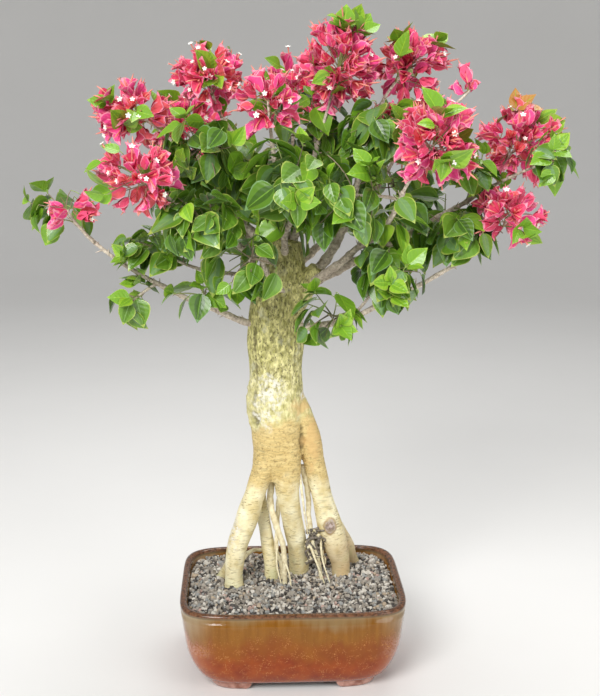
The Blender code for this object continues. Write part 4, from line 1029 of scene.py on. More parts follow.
# Each mark's tone and how fully it shows; the hollows' dark tone is painted shade.
TRUNK_TONES = {
    "hollow_shade": ((0.105, 0.088, 0.030), 0.80),
    "scar": ((0.17, 0.105, 0.090), 0.85),
    "bulge": ((0.62, 0.56, 0.28), 0.35),
    "peach": ((0.66, 0.43, 0.17), 0.70),
    "white": ((0.78, 0.76, 0.68), 0.85),
}


def trunk_ground(bark, height, coarse, blotch):
    """Cream on the legs, crackled ochre above them, and olive from the middle up."""
    across = bark.noise(1.0, 4.0, bark.stretched(70.0, 70.0, 420.0))
    cream = bark.mix(bark.ramp(blotch, 0.35, 0.65), (0.68, 0.56, 0.27), (0.93, 0.87, 0.60))
    ochre = bark.mix(bark.ramp(across, 0.30, 0.70), (0.58, 0.420, 0.155), (0.76, 0.60, 0.27))
    crackle = bark.times(bark.patches(380.0, 6.0, 0.54, 0.62), 0.6)
    middle = bark.mix(bark.ramp(coarse, 0.38, 0.60), (0.46, 0.42, 0.150), (0.80, 0.74, 0.38))
    olive = bark.mix(bark.ramp(coarse, 0.38, 0.60), (0.340, 0.320, 0.090), (0.74, 0.69, 0.290))
    return bark.layers(
        cream,
        (bark.ramp(height, 0.200, 0.238, True), bark.mix(crackle, ochre, (0.34, 0.215, 0.070))),
        (bark.ramp(height, 0.276, 0.300, True), middle),
        (bark.ramp(height, 0.325, 0.385, True), olive),
    )


def trunk_growth(bark, x, height, flecks, blotch):
    """Dark flecks and lichen above, fine lines and a pink flush on the legs, and moss at their feet."""
    flecked = bark.times(bark.ramp(flecks, 0.53, 0.62), bark.ramp(height, 0.29, 0.34), 0.85)
    lines = bark.ramp(bark.noise(1.0, 3.0, bark.stretched(150.0, 150.0, 1000.0)), 0.57, 0.64)
    broken = bark.patches(38.0, 3.0, 0.38, 0.54)
    lined = bark.times(lines, broken, bark.ramp(height, 0.31, 0.27), 0.85)
    lichen = bark.times(bark.patches(42.0, 5.0, 0.58, 0.66), bark.ramp(height, 0.27, 0.31), 0.6)
    pink = bark.times(bark.ramp(x, 0.016, 0.036), bark.ramp(height, 0.160, 0.120), 0.6)
    moss = bark.times(bark.ramp(height, 0.128, 0.100), bark.ramp(blotch, 0.45, 0.60), 0.5)
    return (
        (flecked, (0.095, 0.085, 0.024)),
        (lined, (0.24, 0.165, 0.055)),
        (lichen, (0.58, 0.57, 0.40)),
        (pink, (0.58, 0.39, 0.21)),
        (moss, (0.46, 0.46, 0.15)),
    )


def trunk_marks(bark):
    """Each mark's tone (the hollows' dark one a painted shade), the scar's mottling and the rim round it."""
    shares = {name: bark.times(bark.attribute(name), most) for name, (_, most) in TRUNK_TONES.items()}
    shares["white"] = bark.times(shares["white"], bark.patches(260.0, 5.0, 0.40, 0.56))
    scar = bark.attribute("scar")
    mottled = bark.times(bark.patches(300.0, 5.0, 0.46, 0.54), bark.ramp(scar, 0.3, 0.6), 0.9)
    rim = bark.times(bark.ramp(scar, 0.02, 0.25), bark.ramp(scar, 0.70, 0.40), 0.7)
    marks = [(shares[name], tone) for name, (tone, _) in TRUNK_TONES.items()]
    return (*marks, (mottled, (0.50, 0.40, 0.36)), (rim, (0.44, 0.29, 0.13)))


def trunk_finish():
    """The trunk's tones by height, and on them what grows there and what the marks show."""
    bark = Finish("trunk_bark", (0.5, 0.42, 0.2), 0.75)
    axes = bark.axes()
    height = bark.plus(axes["Z"], bark.swing(bark.noise(26.0, 6.0, roughness=0.65), 0.10))
    flecks = bark.noise(1.0, 5.0, bark.stretched(470.0, 470.0, 250.0), 0.62)
    coarse = bark.noise(1.0, 4.0, bark.stretched(230.0, 230.0, 130.0))
    blotch = bark.noise(60.0, 5.0)
    growth = trunk_growth(bark, axes["X"], height, flecks, blotch)
    tone = bark.layers(trunk_ground(bark, height, coarse, blotch), *growth, *trunk_marks(bark))
    rough = bark.plus(bark.times(coarse, 0.25), 0.55)
    pits = bark.bump(flecks, 0.5, 0.0007)
    bark.show(base_color=tone, roughness=rough, normal=bark.bump(bark.noise(800.0, 4.0), 0.35, 0.0004, pits))
    return bark.material


def fused_trunk():
    """Column, root legs and sawn stubs run together into one skin."""
    pile = Pile()
    capped_tube(pile, smooth_path(TRUNK, PATH_STEPS), TRUNK_SIDES, TRUNK_FLAT)
    for stations in LEGS.values():
        capped_tube(pile, smooth_path(stations, PATH_STEPS), LEG_SIDES)
    for low, high, low_radius, high_radius in STUBS.values():
        capped_tube(pile, np.linspace((*low, low_radius), (*high, high_radius), 6), STUB_SIDES)
    body = closed_object("trunk_bark", pile)
    fuse = body.modifiers.new("fuse", "REMESH")
    fuse.mode = "VOXEL"
    fuse.voxel_size = TRUNK_VOXEL
    soften = body.modifiers.new("soften", "SMOOTH")
    soften.factor = 0.5
    soften.iterations = TRUNK_SOFTENING
    apply_modifiers(body)
    return body


def build_trunk():
    """The trunk's skin with the bark's relief worked in; each point keeps how much of every mark it shows."""
    body = fused_trunk()
    places, normals = places_of(body.data)
    places -= SHIFT
    relief, shown = trunk_relief(places)
    moved = places + normals * (BARK_LUMP * noise_at(places, BARK_LUMP_SIZE) + relief)[:, None]
    body.data.vertices.foreach_set("co", (moved + SHIFT).ravel())
    for name, shares in shown.items():
        layer = body.data.attributes.new(name, "FLOAT", "POINT")
        layer.data.foreach_set("value", shares.astype(np.float32))
    set_smooth(body.data, True)
    body.data.materials.append(trunk_finish())
    body.data.update()
    place_piece(body, ["trunk"], "bark")


# ---------------------------------------------------------------- thin roots


def bark_finish(name, dark, light, scale):
    """Streaked bark, darker in blotches."""
    bark = Finish(name, light, 0.8)
    streaks = bark.noise(scale, 5.0)
    tone = bark.mix(bark.ramp(streaks, 0.34, 0.66), dark, light)
    blotch = bark.times(bark.ramp(bark.noise(scale / 7.0, 3.0), 0.45, 0.7), 0.5)
    rough = bark.plus(bark.times(streaks, 0.25), 0.6)
    bark.show(base_color=bark.mix(blotch, tone, dark), roughness=rough)
    bark.show(normal=bark.bump(streaks, 0.5, 0.0005))
    return bark.material


KNOB_LENGTH = 0.16  # of a swollen node, as a share of the way between two
LUMP_SIZE = 0.0045
LUMP_SHARE = 0.16  # how far the lumps move the bark, as a share of the limb's radius


def knobbly(pile, path, radii, sides, seed, knob, spacing, slot=0):
    """Adds a limb whose rings swell at its nodes and wander in radius, closed at both ends."""
    rng = np.random.default_rng(seed)
    run = run_along(path)
    nodes_at = np.cumsum(rng.uniform(0.7, 1.3, size=200) * spacing)
    nearest = np.abs(run[:, None] - nodes_at[None]).min(axis=1)
    swell = 1.0 + knob * np.exp(-((nearest / (spacing * KNOB_LENGTH)) ** 2))
    rings = tube_rings(path[None], (radii * swell)[None], sides)[0].reshape(len(path), sides, 3)
    outward = rings - path[:, None]
    bumps = noise_at(rings.reshape(-1, 3), LUMP_SIZE, seed * 1.7).reshape(len(path), sides, 1)
    rings = path[:, None] + outward * (1.0 + LUMP_SHARE * bumps)
    rings = np.concatenate([path[:1, None].repeat(sides, 1), rings, path[-1:, None].repeat(sides, 1)])
    pile.add(rings.reshape(-1, 3), grid_faces(len(rings), sides), slot)


# How thick each of AERIAL_ROOTS is beside the solid that it stands for.
ROOT_SWELL = (1.30, 0.95, 1.05, 0.90)
ROOT_WANDER = 0.0011
ROOT_TAPER = 0.22
ROOT_STEP = 0.0022
ROOT_SUNK = 0.004  # how far a root goes on into the gravel
ROOTLETS = (
    ((0.010, 0.002, 0.222), (0.013, -0.002, 0.197), (0.016, -0.002, 0.172), (0.019, 0.002, 0.152)),
    ((0.022, 0.000, 0.138), (0.029, -0.008, 0.120), (0.038, -0.014, 0.097)),
    ((0.034, 0.008, 0.146), (0.036, -0.002, 0.122), (0.044, -0.010, 0.097)),
    ((-0.016, 0.004, 0.140), (-0.017, -0.006, 0.118), (-0.012, -0.012, 0.097)),
    ((-0.012, -0.006, 0.132), (-0.004, -0.014, 0.114), (-0.001, -0.018, 0.097)),
)
ROOTLET_RADIUS = 0.0013
# The tangle of rootlets, most of them dark as painted shade.
TANGLE_MIDDLE = (0.028, 0.010, 0.134)
TANGLE_RADII = (0.012, 0.008, 0.022)
TANGLE_COUNT = 26


def tangle_paths(rng):
    """Fine rootlets that wind down through the dark tangle between the middle leg and the right one, its
    darkness a painted shade.
    """
    for _ in range(TANGLE_COUNT):
        stops = TANGLE_MIDDLE + np.array(TANGLE_RADII) * rng.uniform(-1.0, 1.0, size=(5, 3))
        yield stops[np.argsort(-stops[:, 2])]


def root_path(stops, seed):
    """A thin root's path, which wanders and goes on into the gravel where it reaches it."""
    path = resampled(smooth_path(stops, 8), ROOT_STEP)
    wander = [noise_at(path, 0.012, seed + axis) for axis in range(3)]
    path = path + ROOT_WANDER * np.column_stack(wander)
    if stops[-1][2] == SOIL_TOP:
        path = np.vstack([path, path[-1] - (0.0, 0.0, ROOT_SUNK)])
    return path


def build_roots():
    """The four thin hanging roots, finer rootlets beside them and the tangle."""
    pile = Pile()
    rng = np.random.default_rng(FIRST_SEED + 400)
    for number, stops in enumerate(AERIAL_ROOTS.values()):
        path = root_path(stops, 50.0 + 7.0 * number)
        taper = 1.0 + ROOT_TAPER * np.linspace(1.0, -1.0, len(path))
        knobbly(pile, path, AERIAL_RADIUS * ROOT_SWELL[number] * taper, 12, 40 + number, 0.10, 0.016)
    for number, stops in enumerate(ROOTLETS):
        path = resampled(smooth_path(stops, 6), ROOT_STEP)
        knobbly(pile, path, ROOTLET_RADIUS * np.linspace(1.15, 0.55, len(path)), 8, 60 + number, 0.12, 0.012)
    for number, stops in enumerate(tangle_paths(rng)):
        path = resampled(smooth_path(stops, 5), 0.0020)
        radii = rng.uniform(0.0008, 0.0021) * np.linspace(1.0, 0.5, len(path))
        # Three of every four rootlets of the tangle take the dark bark, a painted shade.
        knobbly(pile, path, radii, 6, 80 + number, 0.12, 0.010, int(number % 4 > 0))
    pale = bark_finish("root_bark", (0.62, 0.52, 0.30), (0.92, 0.86, 0.62), 240.0)
    # Dark bark, a painted shade for the tangle's rootlets.
    dark = bark_finish("root_painted_shade", (0.060, 0.052, 0.046), (0.300, 0.255, 0.200), 400.0)
    add_piece("thin_roots", pile, [pale, dark], list(AERIAL_ROOTS), "root_bark")


# ---------------------------------------------------------------- boughs and stems


def slope(flat, degrees):
    angle = math.radians(degrees)
    return flat * math.cos(angle) + np.array([0.0, 0.0, math.sin(angle)])


def bough_path(start, tip, rise, level, seed):
    """A bent limb from start to tip, leaving at the slope rise and arriving at the slope level."""
    start = np.asarray(start, float)
    tip = np.asarray(tip, float)
    reach = np.linalg.norm(tip - start)
    flat = unit((tip - start) * (1.0, 1.0, 0.0))
    leaving = slope(flat, rise) * reach
    arriving = slope(flat, level) * reach
    count = max(4, int(round(reach / LIMB_STEP)) + 1)
    rng = np.random.default_rng(seed)
    path = []
    for t in np.linspace(0.0, 1.0, count):
        place = (
            (2 * t**3 - 3 * t**2 + 1) * start
            + (t**3 - 2 * t**2 + t) * leaving
            + (3 * t**2 - 2 * t**3) * tip
            + (t**3 - t**2) * arriving
        )
        path.append(place + rng.normal(size=3) * LIMB_WANDER * math.sin(math.pi * t))
    return np.array(path)


def axis_point(stations, height):
    x, y, z, _ = np.transpose(stations)
    return np.array([np.interp(height, z, x), np.interp(height, z, y), height])


def lay_out_boughs():
    """Each bough's path and radii, parents first, as the part lays them."""
    laid = {}
    for number, plan in enumerate(BOUGHS):
        if plan.parent == "trunk":
            start = axis_point(TRUNK, plan.at)
        elif plan.parent in STUBS:
            low, high = (np.array(end) for end in STUBS[plan.parent][:2])
            start = low + (high - low) * plan.at
        else:
            start = along(laid[plan.parent][0], plan.at)
        start = start + (*plan.offset, 0.0)
        path = bough_path(start, plan.tip, plan.rise, plan.level, number)
        share = np.linspace(0.0, 1.0, len(path))
        laid[plan.place] = (path, plan.thick + (plan.thin - plan.thick) * share**LIMB_TAPER)
    return laid


def rank_on_bough(mass, laid):
    """The mass that lies furthest on grows from the bough's tip, and the next ones lower down."""
    path, _ = laid[mass.bough]
    heading = unit(path[-1] - path[-2])
    rivals = [other for other in MASSES if other.bough == mass.bough]
    ahead = [(np.array(other.middle) - path[-1]).dot(heading) for other in rivals]
    mine = (np.array(mass.middle) - path[-1]).dot(heading)
    continued = any(plan.parent == mass.bough and plan.at == 1.0 for plan in BOUGHS)
    return sum(other > mine for other in ahead) + int(continued)


def stem_path(mass, laid):
    """From the middle of the bough near its tip, bending out towards the mass's middle."""
    path, _ = laid[mass.bough]
    rank = rank_on_bough(mass, laid)
    start = along(path, 1.0 - rank * STEM_SPACING / run_along(path)[-1])
    end = np.array(mass.middle)
    heading = unit(path[-1] - path[-2])
    lead = STEM_LEAD_SIDE if rank else STEM_LEAD_TIP
    bend = start + heading * np.linalg.norm(end - start) * lead + (end - start) * (0.5 - lead)
    share = np.linspace(0.0, 1.0, 12)
    return np.array([(1 - t) ** 2 * start + 2 * t * (1 - t) * bend + t**2 * end for t in share])


BOUGH_SLIMMER = 0.86  # the bark's mean surface as a share of the solid's radius
BOUGH_STEP = 0.0024
SPUR_REACH = (0.003, 0.009)
SPUR_RADII = (0.0011, 0.0003)


def add_spurs(pile, bough, run, seed, rng):
    """Short bare spurs along the sides of a bough that runs that way."""
    for share in np.arange(0.30, 0.97, 0.11):
        *spot, radius = bough[int(share * (len(bough) - 1))]
        heading = unit(np.cross(run, rng.normal(size=3)) + run * 0.6)
        stops = np.linspace(spot, spot + heading * (radius + rng.uniform(*SPUR_REACH)), 5)
        knobbly(pile, stops, np.linspace(*SPUR_RADII, 5), 6, seed, 0.0, 0.01)


def build_boughs(laid, stems):
    """Boughs with swollen nodes and a few short spurs, and the stems that carry each mass."""
    pile = Pile()
    rng = np.random.default_rng(FIRST_SEED + 500)
    for number, (path, radii) in enumerate(laid.values()):
        stops = np.column_stack([path, radii * BOUGH_SLIMMER])
        bough = resampled(smooth_path(stops, PATH_STEPS), BOUGH_STEP)
        knobbly(pile, bough[:, :3], bough[:, 3], 12, 100 + number, 0.20, 0.019)
        add_spurs(pile, bough, path[-1] - path[0], 300 + number, rng)
    for number, stem in enumerate(stems):
        path = resampled(stem, 0.0028)
        radii = np.linspace(STEM_RADIUS * 1.15, STEM_RADIUS * STEM_TAPER, len(path))
        knobbly(pile, path, radii, 8, 200 + number, 0.16, 0.012)
    finish = bark_finish("bough_bark", (0.32, 0.255, 0.195), (0.78, 0.69, 0.56), 330.0)
    add_piece("boughs", pile, [finish], [plan.name for plan in BOUGHS], "twig_bark")


# ---------------------------------------------------------------- the room each mass has

SPHERE_APART = 0.004


def spheres_along(path, radii):
    """The limb as spheres close together, for telling what comes near it."""
    length = run_along(path)[-1]
    count = max(2, int(length / SPHERE_APART))
    radii = np.interp(np.linspace(0, 1, count), np.linspace(0, 1, len(radii)), radii)
    return at_runs(path, np.linspace(0.0, length, count)), radii


class Room:
    """Tells which places belong to a mass, and which limbs its leaves keep clear of."""

    def __init__(self, laid):
        self.middles = np.array([mass.middle for mass in MASSES])
        self.radii = np.array([mass.radii for mass in MASSES])
        self.sizes = self.radii.mean(axis=1)
        column = smooth_path(TRUNK, 4)
        limbs = [*laid.values(), (column[:, :3], column[:, 3] + BARK_LUMP)]
        limbs += [(np.array([low, high]), radii) for low, high, *radii in STUBS.values()]
        points, radii = zip(*(spheres_along(*limb) for limb in limbs))
        self.limb_points = np.concatenate(points)
        self.limb_radii = np.concatenate(radii)

    def holds(self, index, points, slack=1.0):
        """Whether all the points lie in this mass's ellipsoid, on its side of every border."""
        points = np.asarray(points)
        depth = np.linalg.norm((points[:, None, :] - self.middles) / self.radii, axis=2)
        own = depth[:, index]
        if own.max() > slack:
            return False
        margin = CELL_MARGIN * (1.0 / self.sizes + 1.0 / self.sizes[index])
        ahead = depth - own[:, None] - margin
        ahead[:, index] = 1.0
        return ahead.min() > 0.0

    def clears_limbs(self, points, gap):
        offsets = self.limb_points[None] - np.asarray(points)[:, None]
        return (np.linalg.norm(offsets, axis=2) - self.limb_radii).min() > gap


def spread(count):
    """Directions spaced evenly over a sphere."""
    for i in range(count):
        z = 1.0 - 2.0 * (i + 0.5) / count
        ring = math.sqrt(1.0 - z * z)
        yield np.array([ring * math.cos(i * GOLDEN_ANGLE), ring * math.sin(i * GOLDEN_ANGLE), z])


# ---------------------------------------------------------------- leaves and bracts

BLADE_COLUMNS = np.array([-1.0, -0.90, -0.45, -0.05, 0.05, 0.45, 0.90, 1.0])
LEAF_ROWS = np.array([0.0, 0.05, 0.15, 0.28, 0.43, 0.58, 0.73, 0.88, 1.0])
BRACT_ROWS = np.array([0.0, 0.12, 0.28, 0.46, 0.64, 0.83, 1.0])
LEAF_SHAPE = (0.66, 1.30)
BRACT_SHAPE = (0.62, 0.80)
BLADE_MAP = "blade"  # the map that tells a material how far along and across the blade it is
LEAF_TONES = {
    "leaf_deep": (0.040, 0.102, 0.005),
    "leaf_green": (0.084, 0.188, 0.010),
    "leaf_sheen": (0.150, 0.280, 0.095),
    "leaf_fresh": (0.170, 0.350, 0.022),
    "leaf_lime": (0.270, 0.470, 0.032),
    "leaf_paler": (0.125, 0.260, 0.022),
    "leaf_edge": (0.330, 0.430, 0.075),
    "leaf_rib": (0.190, 0.330, 0.090),
    "leaf_blush": (0.480, 0.230, 0.050),
}
# Blade, edge, rib and outer part of each way a leaf is coloured.
LEAF_SCHEMES = (
    ("leaf_deep", "leaf_sheen", "leaf_paler", "leaf_green"),
    ("leaf_green", "leaf_edge", "leaf_rib", "leaf_paler"),
    ("leaf_sheen", "leaf_edge", "leaf_rib", "leaf_paler"),
    ("leaf_fresh", "leaf_lime", "leaf_lime", "leaf_fresh"),
    ("leaf_fresh", "leaf_edge", "leaf_lime", "leaf_lime"),
    ("leaf_blush", "leaf_blush", "leaf_lime", "leaf_blush"),
)
FRESH, LIME, BLUSH = 3, 4, 5  # places in LEAF_SCHEMES
OLD_SHARES = (0.34, 0.30, 0.28, 0.08, 0.0, 0.0)
YOUNG_SHARES = (0.16, 0.32, 0.28, 0.20, 0.04, 0.0)
BRACT_TONES = {
    "bract_rose": (0.83, 0.090, 0.195),
    "bract_magenta": (0.86, 0.088, 0.300),
    "bract_coral": (0.86, 0.130, 0.160),
    "bract_deep": (0.50, 0.028, 0.075),
    "bract_pale": (0.94, 0.340, 0.450),
    "bract_vein": (0.58, 0.036, 0.090),
}
BRACT_SCHEMES = (
    ("bract_rose", "bract_pale", "bract_vein", "bract_rose"),
    ("bract_magenta", "bract_pale", "bract_vein", "bract_magenta"),
    ("bract_coral", "bract_pale", "bract_vein", "bract_coral"),
    ("bract_deep", "bract_rose", "bract_vein", "bract_rose"),
    ("bract_pale", "bract_pale", "bract_rose", "bract_magenta"),
)
BRACT_SHARES = (0.32, 0.26, 0.15, 0.13, 0.14)


def blade_width(rows, belly, point):
    """Half width along a blade, 1 at its widest; belly shapes its base and point its tip."""
    shape = (rows + 0.012) ** belly * (1.0 - rows + 0.012) ** point
    return shape / shape.max()


def blade_kinds(rows):
    """0 for a blade's face, 1 for edge and tip, 2 for rib and 3 for the outer part, as in grid_faces."""
    kinds = np.zeros((rows - 1, len(BLADE_COLUMNS) - 1), int)
    kinds[:, [1, -2]] = 3
    kinds[1:, [0, -1]] = 1
    kinds[:, (len(BLADE_COLUMNS) - 1) // 2] = 2
    kinds[-1] = 1
    return kinds.ravel()


def from_axes(root, parts, axes):
    """Points at root plus each part along its axis, for a grid of points on each of many blades."""
    moved = sum(part[..., None] * axis[:, None, None, :] for part, axis in zip(parts, axes))
    return (root[:, None, None, :] + moved).reshape(len(root), -1, 3)


def blade_grid(data, rows, shape, rng):
    """Shares along and across every blade, its half width at each row, and a random phase for its waves."""
    half = blade_width(rows, *shape)[None, :, None]
    phase = rng.uniform(0.0, 2.0 * math.pi, size=(len(data), 1, 1))
    return rows[None, :, None], BLADE_COLUMNS[None, None, :], half, phase


def leaf_points(data, rng):
    """Every leaf's points: an ovate blade folded up along its rib, curling down, with a wavy edge."""
    root, direction, normal = data[:, 0:3], data[:, 3:6], data[:, 6:9]
    length, width, fold, curl, wave = (data[:, i, None, None] for i in range(9, 14))
    u, v, half, phase = blade_grid(data, LEAF_ROWS, LEAF_SHAPE, rng)
    sway = rng.normal(size=(len(data), 1, 1)) * 0.05
    across = v * half * width / 2 + sway * length * u**2
    run = u * length * (1.0 - 0.08 * curl * u) + 0 * v
    lift = fold * np.abs(v) * half * width / 2 - curl * length * u**2 * 0.55
    lift = lift + wave * length * np.sin(9.0 * u + phase + 1.2 * np.sign(v)) * v**2 * half
    return from_axes(root, (across, run, lift), (np.cross(direction, normal), direction, normal))


def bract_points(data, rng):
    """Every bract's points: a papery blade cupped towards its flower, crumpled, its tip bent out."""
    root, outward, heading = data[:, 0:3], data[:, 3:6], data[:, 6:9]
    length, width, low, high, wave = (data[:, i, None, None] for i in range(9, 14))
    u, v, half, phase = blade_grid(data, BRACT_ROWS, BRACT_SHAPE, rng)
    angles = low + (high - low) * u**1.6
    steps = np.diff(BRACT_ROWS, prepend=0.0)[None, :, None]
    out_run = np.cumsum(np.sin(angles) * steps, axis=1) * length
    up_run = np.cumsum(np.cos(angles) * steps, axis=1) * length
    across = v * half * width / 2 * (1.0 - 0.12 * np.abs(v))
    cup = (v**2 * 0.26 + np.abs(v) * 0.12) * half * width
    swells = np.sin(7.0 * u + phase + 2.0 * v) * np.abs(v)
    ripple = wave * length * (swells + 0.5 * np.sin(15.0 * u - phase + 5.0 * v))
    inward = cup + ripple * half
    parts = (across, out_run - inward * np.cos(angles), up_run + inward * np.sin(angles))
    return from_axes(root, parts, (np.cross(outward, heading), outward, heading))


def blade_finish(name, colour, roughness, coat, veins, relief):
    """A plain colour; side veins at the given spacing are pressed into it."""
    blade = Finish(name, colour, roughness, coat_weight=coat, specular_ior_level=0.35)
    axes = blade.axes(blade.add("ShaderNodeUVMap", uv_map=BLADE_MAP).outputs["UV"])
    back = blade.times(blade.maths("ABSOLUTE", axes["Y"]), -9.0)
    ribs = blade.maths("SINE", blade.plus(blade.times(axes["X"], veins), back))
    pressed = blade.plus(blade.times(ribs, 0.5), blade.noise(380.0, 3.0))
    rough = blade.plus(blade.times(blade.noise(200.0, 3.0), 0.2), roughness - 0.1)
    blade.show(roughness=rough, normal=blade.bump(pressed, relief, 0.0006))
    return blade.material


def plain_finish(name, colour, roughness, grain, relief):
    """A plain colour with a fine grain."""
    plain = Finish(name, colour, roughness)
    plain.show(normal=plain.bump(plain.noise(grain, 3.0), relief, 0.0003))
    return plain.material


class Blades(NamedTuple):
    """What the leaves, or the bracts, are made with."""

    piece: str
    kind: str
    slot: str
    rows: np.ndarray
    points: object
    tones: dict
    schemes: tuple
    finish: tuple
    seed: int


LEAF_FINISH = (0.38, 0.30, 34.0, 0.32)  # roughness, coat, veins and relief
BRACT_FINISH = (0.55, 0.0, 24.0, 0.45)
LEAVES = Blades(
    "leaves", "foliage", "leaf", LEAF_ROWS, leaf_points, LEAF_TONES, LEAF_SCHEMES, LEAF_FINISH, 700
)
BRACTS = Blades(
    "bracts", "blossom", "bract", BRACT_ROWS, bract_points, BRACT_TONES, BRACT_SCHEMES, BRACT_FINISH, 800
)


def build_blades(blades, grown):
    """Joins the grown leaves or bracts into one piece left of the trunk and one right of it."""
    rng = np.random.default_rng(FIRST_SEED + blades.seed)
    numbers = {name: number for number, name in enumerate(blades.tones)}
    schemes = np.array([[numbers[name] for name in scheme] for scheme in blades.schemes])
    kinds = blade_kinds(len(blades.rows))
    faces = grid_faces(len(blades.rows), len(BLADE_COLUMNS), around=False)
    maps = np.stack(np.meshgrid(blades.rows, BLADE_COLUMNS, indexing="ij"), axis=-1).reshape(-1, 2)
    finishes = [blade_finish(name, tone, *blades.finish) for name, tone in blades.tones.items()]
    data = np.array(grown)
    for side, sign in (("left", -1.0), ("right", 1.0)):
        chosen = data[np.array([sign * MASSES[int(index)].middle[0] > 0.0 for index in data[:, -1]])]
        nodes = [mass.name for mass in MASSES if mass.kind == blades.kind and sign * mass.middle[0] > 0.0]
        pile = Pile()
        slots = schemes[chosen[:, -2].astype(int)][:, kinds]
        pile.add(blades.points(chosen, rng), faces, slots, maps)
        add_piece(f"{blades.piece}_{side}", pile, finishes, nodes, blades.slot, mapped=True)


# ---------------------------------------------------------------- growing

LEAF_SIZE = (0.0385, 0.0300)  # length and width of a full-grown leaf
LEAF_SPREAD = (0.66, 1.18)
LEAVES_FOR_ONE = 4.6  # life-like leaves for each of the part's larger ones
# Masses that the photo shows thinner, and what share of their leaves they have.
AIRY = {"low_left": 0.60, "low_left_drop": 0.52, "left_tip": 0.72, "left_low": 0.85, "low_middle": 0.80}
LEAVES_PER_TWIG = 5
LEAF_NODE = 0.0085  # between two leaves of one twig
PETIOLE = (0.006, 0.011)
LEAF_APART = 0.0102  # between the middles of two leaves that face the same way
LEAF_SLACK = 1.06  # how far out of its mass a leaf's tip may reach, as a share of the mass's radii
TWIG_RADII = (0.00085, 0.00045)
ROSETTE_SHARE = 0.26  # of the leafy twigs end in a tuft of young leaves
LEAF_PULLS = (0.98, 0.82, 0.64, 0.46)  # how far out a leafy twig tries to reach, in the mass's radii
TRIES = 7  # turns that a leaf tries before it is given up
NODE_TURN = 2.4  # radians from one leaf of a twig to the next
TRY_TURN = 1.3

# Where bark or sky shows through the crown: ellipses, by x and z, in the upright plane through the trunk.
WINDOWS = (
    (-0.002, 0.482, 0.013, 0.028),
    (-0.001, 0.440, 0.010, 0.014),
    (-0.026, 0.462, 0.012, 0.009),
    (0.059, 0.480, 0.019, 0.018),
    (0.106, 0.540, 0.013, 0.013),
    (-0.066, 0.462, 0.017, 0.014),
    (0.006, 0.687, 0.012, 0.026),
    (0.093, 0.683, 0.008, 0.016),
    (0.216, 0.635, 0.011, 0.030),
    (0.180, 0.534, 0.015, 0.015),
)
WINDOW_PLANE = 0.012


def hides_window(points):
    """Whether one of the points lies on the way from the camera to a window."""
    eye = np.array(CAMERA_PLACE)
    points = np.asarray(points)
    share = (WINDOW_PLANE - eye[1]) / (points[:, 1] - eye[1])
    seen = eye + (points - eye) * share[:, None]
    x, z, wide, high = np.array(WINDOWS).T[..., None]
    return np.hypot((seen[:, 0] - x) / wide, (seen[:, 2] - z) / high).min() < 1.0


FAR_OFF = np.full(3, 9.0)  # stands in for a neighbour before there is one


class Plant:
    """All the small pieces as they grow, and what tells whether there is room for more."""

    def __init__(self, laid, stems):
        self.laid = laid
        self.stems = stems
        self.room = Room(laid)
        self.leaves = []
        self.bracts = []
        self.twigs = []
        self.petioles = []
        self.stalks = []
        self.florets = []
        self.middles = [FAR_OFF]
        self.facings = [np.array([0.0, 0.0, 1.0])]

    def crowded(self, middle, normal, apart):
        """Whether a leaf there would lie on another that faces the same way."""
        gaps = np.linalg.norm(np.array(self.middles) - middle, axis=1)
        alike = np.abs(np.array(self.facings) @ normal) > 0.5
        return bool(((gaps < apart) & alike).any() or (gaps < apart * 0.4).any())

    def leaf(self, index, node, direction, normal, size, scheme, rng, slack=LEAF_SLACK):
        """Adds a leaf on its stalk, and says whether there was room. No slack means any place will do."""
        length, width = LEAF_SIZE[0] * size, LEAF_SIZE[1] * size
        root = node + unit(direction + normal * 0.35) * rng.uniform(*PETIOLE) * size
        middle = root + direction * length * 0.5
        tip = root + direction * length
        if slack and not self.room.holds(index, [middle, tip], slack):
            return False
        side = np.cross(direction, normal) * width * 0.36
        if (
            not self.room.clears_limbs([middle, root + direction * length * 0.25, tip], LIMB_CLEAR)
            or hides_window([root, middle - side, middle + side, tip])
            or self.crowded(middle, normal, LEAF_APART * size)
        ):
            return False
        shape = (rng.uniform(0.10, 0.38), rng.uniform(0.02, 0.42), rng.uniform(0.008, 0.032))
        self.leaves.append((*root, *direction, *normal, length, width, *shape, scheme, index))
        self.petioles.append((node, root))
        self.middles.append(middle)
        self.facings.append(normal)
        return True


def leaf_pose(outward, heading, turn, rng):
    """Direction and normal of a leaf: it faces out and up, and hangs from its twig."""
    flat = outward * (1.0, 1.0, 0.35)
    normal = unit(unit(flat) * 0.95 + np.array([0.0, 0.0, 0.42]) + rng.normal(size=3) * 0.26)
    fan = unit(np.cross(heading, (0.2, 0.1, 1.0)))
    hang = heading * 0.30 + fan * math.sin(turn) * 0.80 - np.array([0.0, 0.0, 0.95])
    hang += rng.normal(size=3) * 0.22
    return unit(hang - normal * hang.dot(normal)), normal


def slots_on(stem, index, room, spacing):
    """Shares of the stem, a twig's width apart, that lie in the mass's own space."""
    run = np.linalg.norm(stem[-1] - stem[0])
    shares = np.arange(STEM_BARE, STEM_END, spacing / run)
    return [float(s) for s in shares if room.holds(index, [along(stem, s)])]


def nearest_slot(stem, free, spot):
    """The free slot that lets a twig slant forward to the spot."""
    axis = stem[-1] - stem[0]
    run = np.linalg.norm(axis)
    on_axis = (spot - stem[0]).dot(axis) / run**2
    off_axis = np.linalg.norm(spot - stem[0] - axis * on_axis) / run
    return min(free, key=lambda slot: abs(slot - on_axis + TWIG_DROP * off_axis))


def round_heading(heading, start, number, turn):
    """A direction square to the heading, turned on from the start by so many turns."""
    across = unit(np.cross(heading, (0.3, 0.5, 0.8)))
    angle = start + number * turn
    return math.cos(angle) * across + math.sin(angle) * np.cross(heading, across)


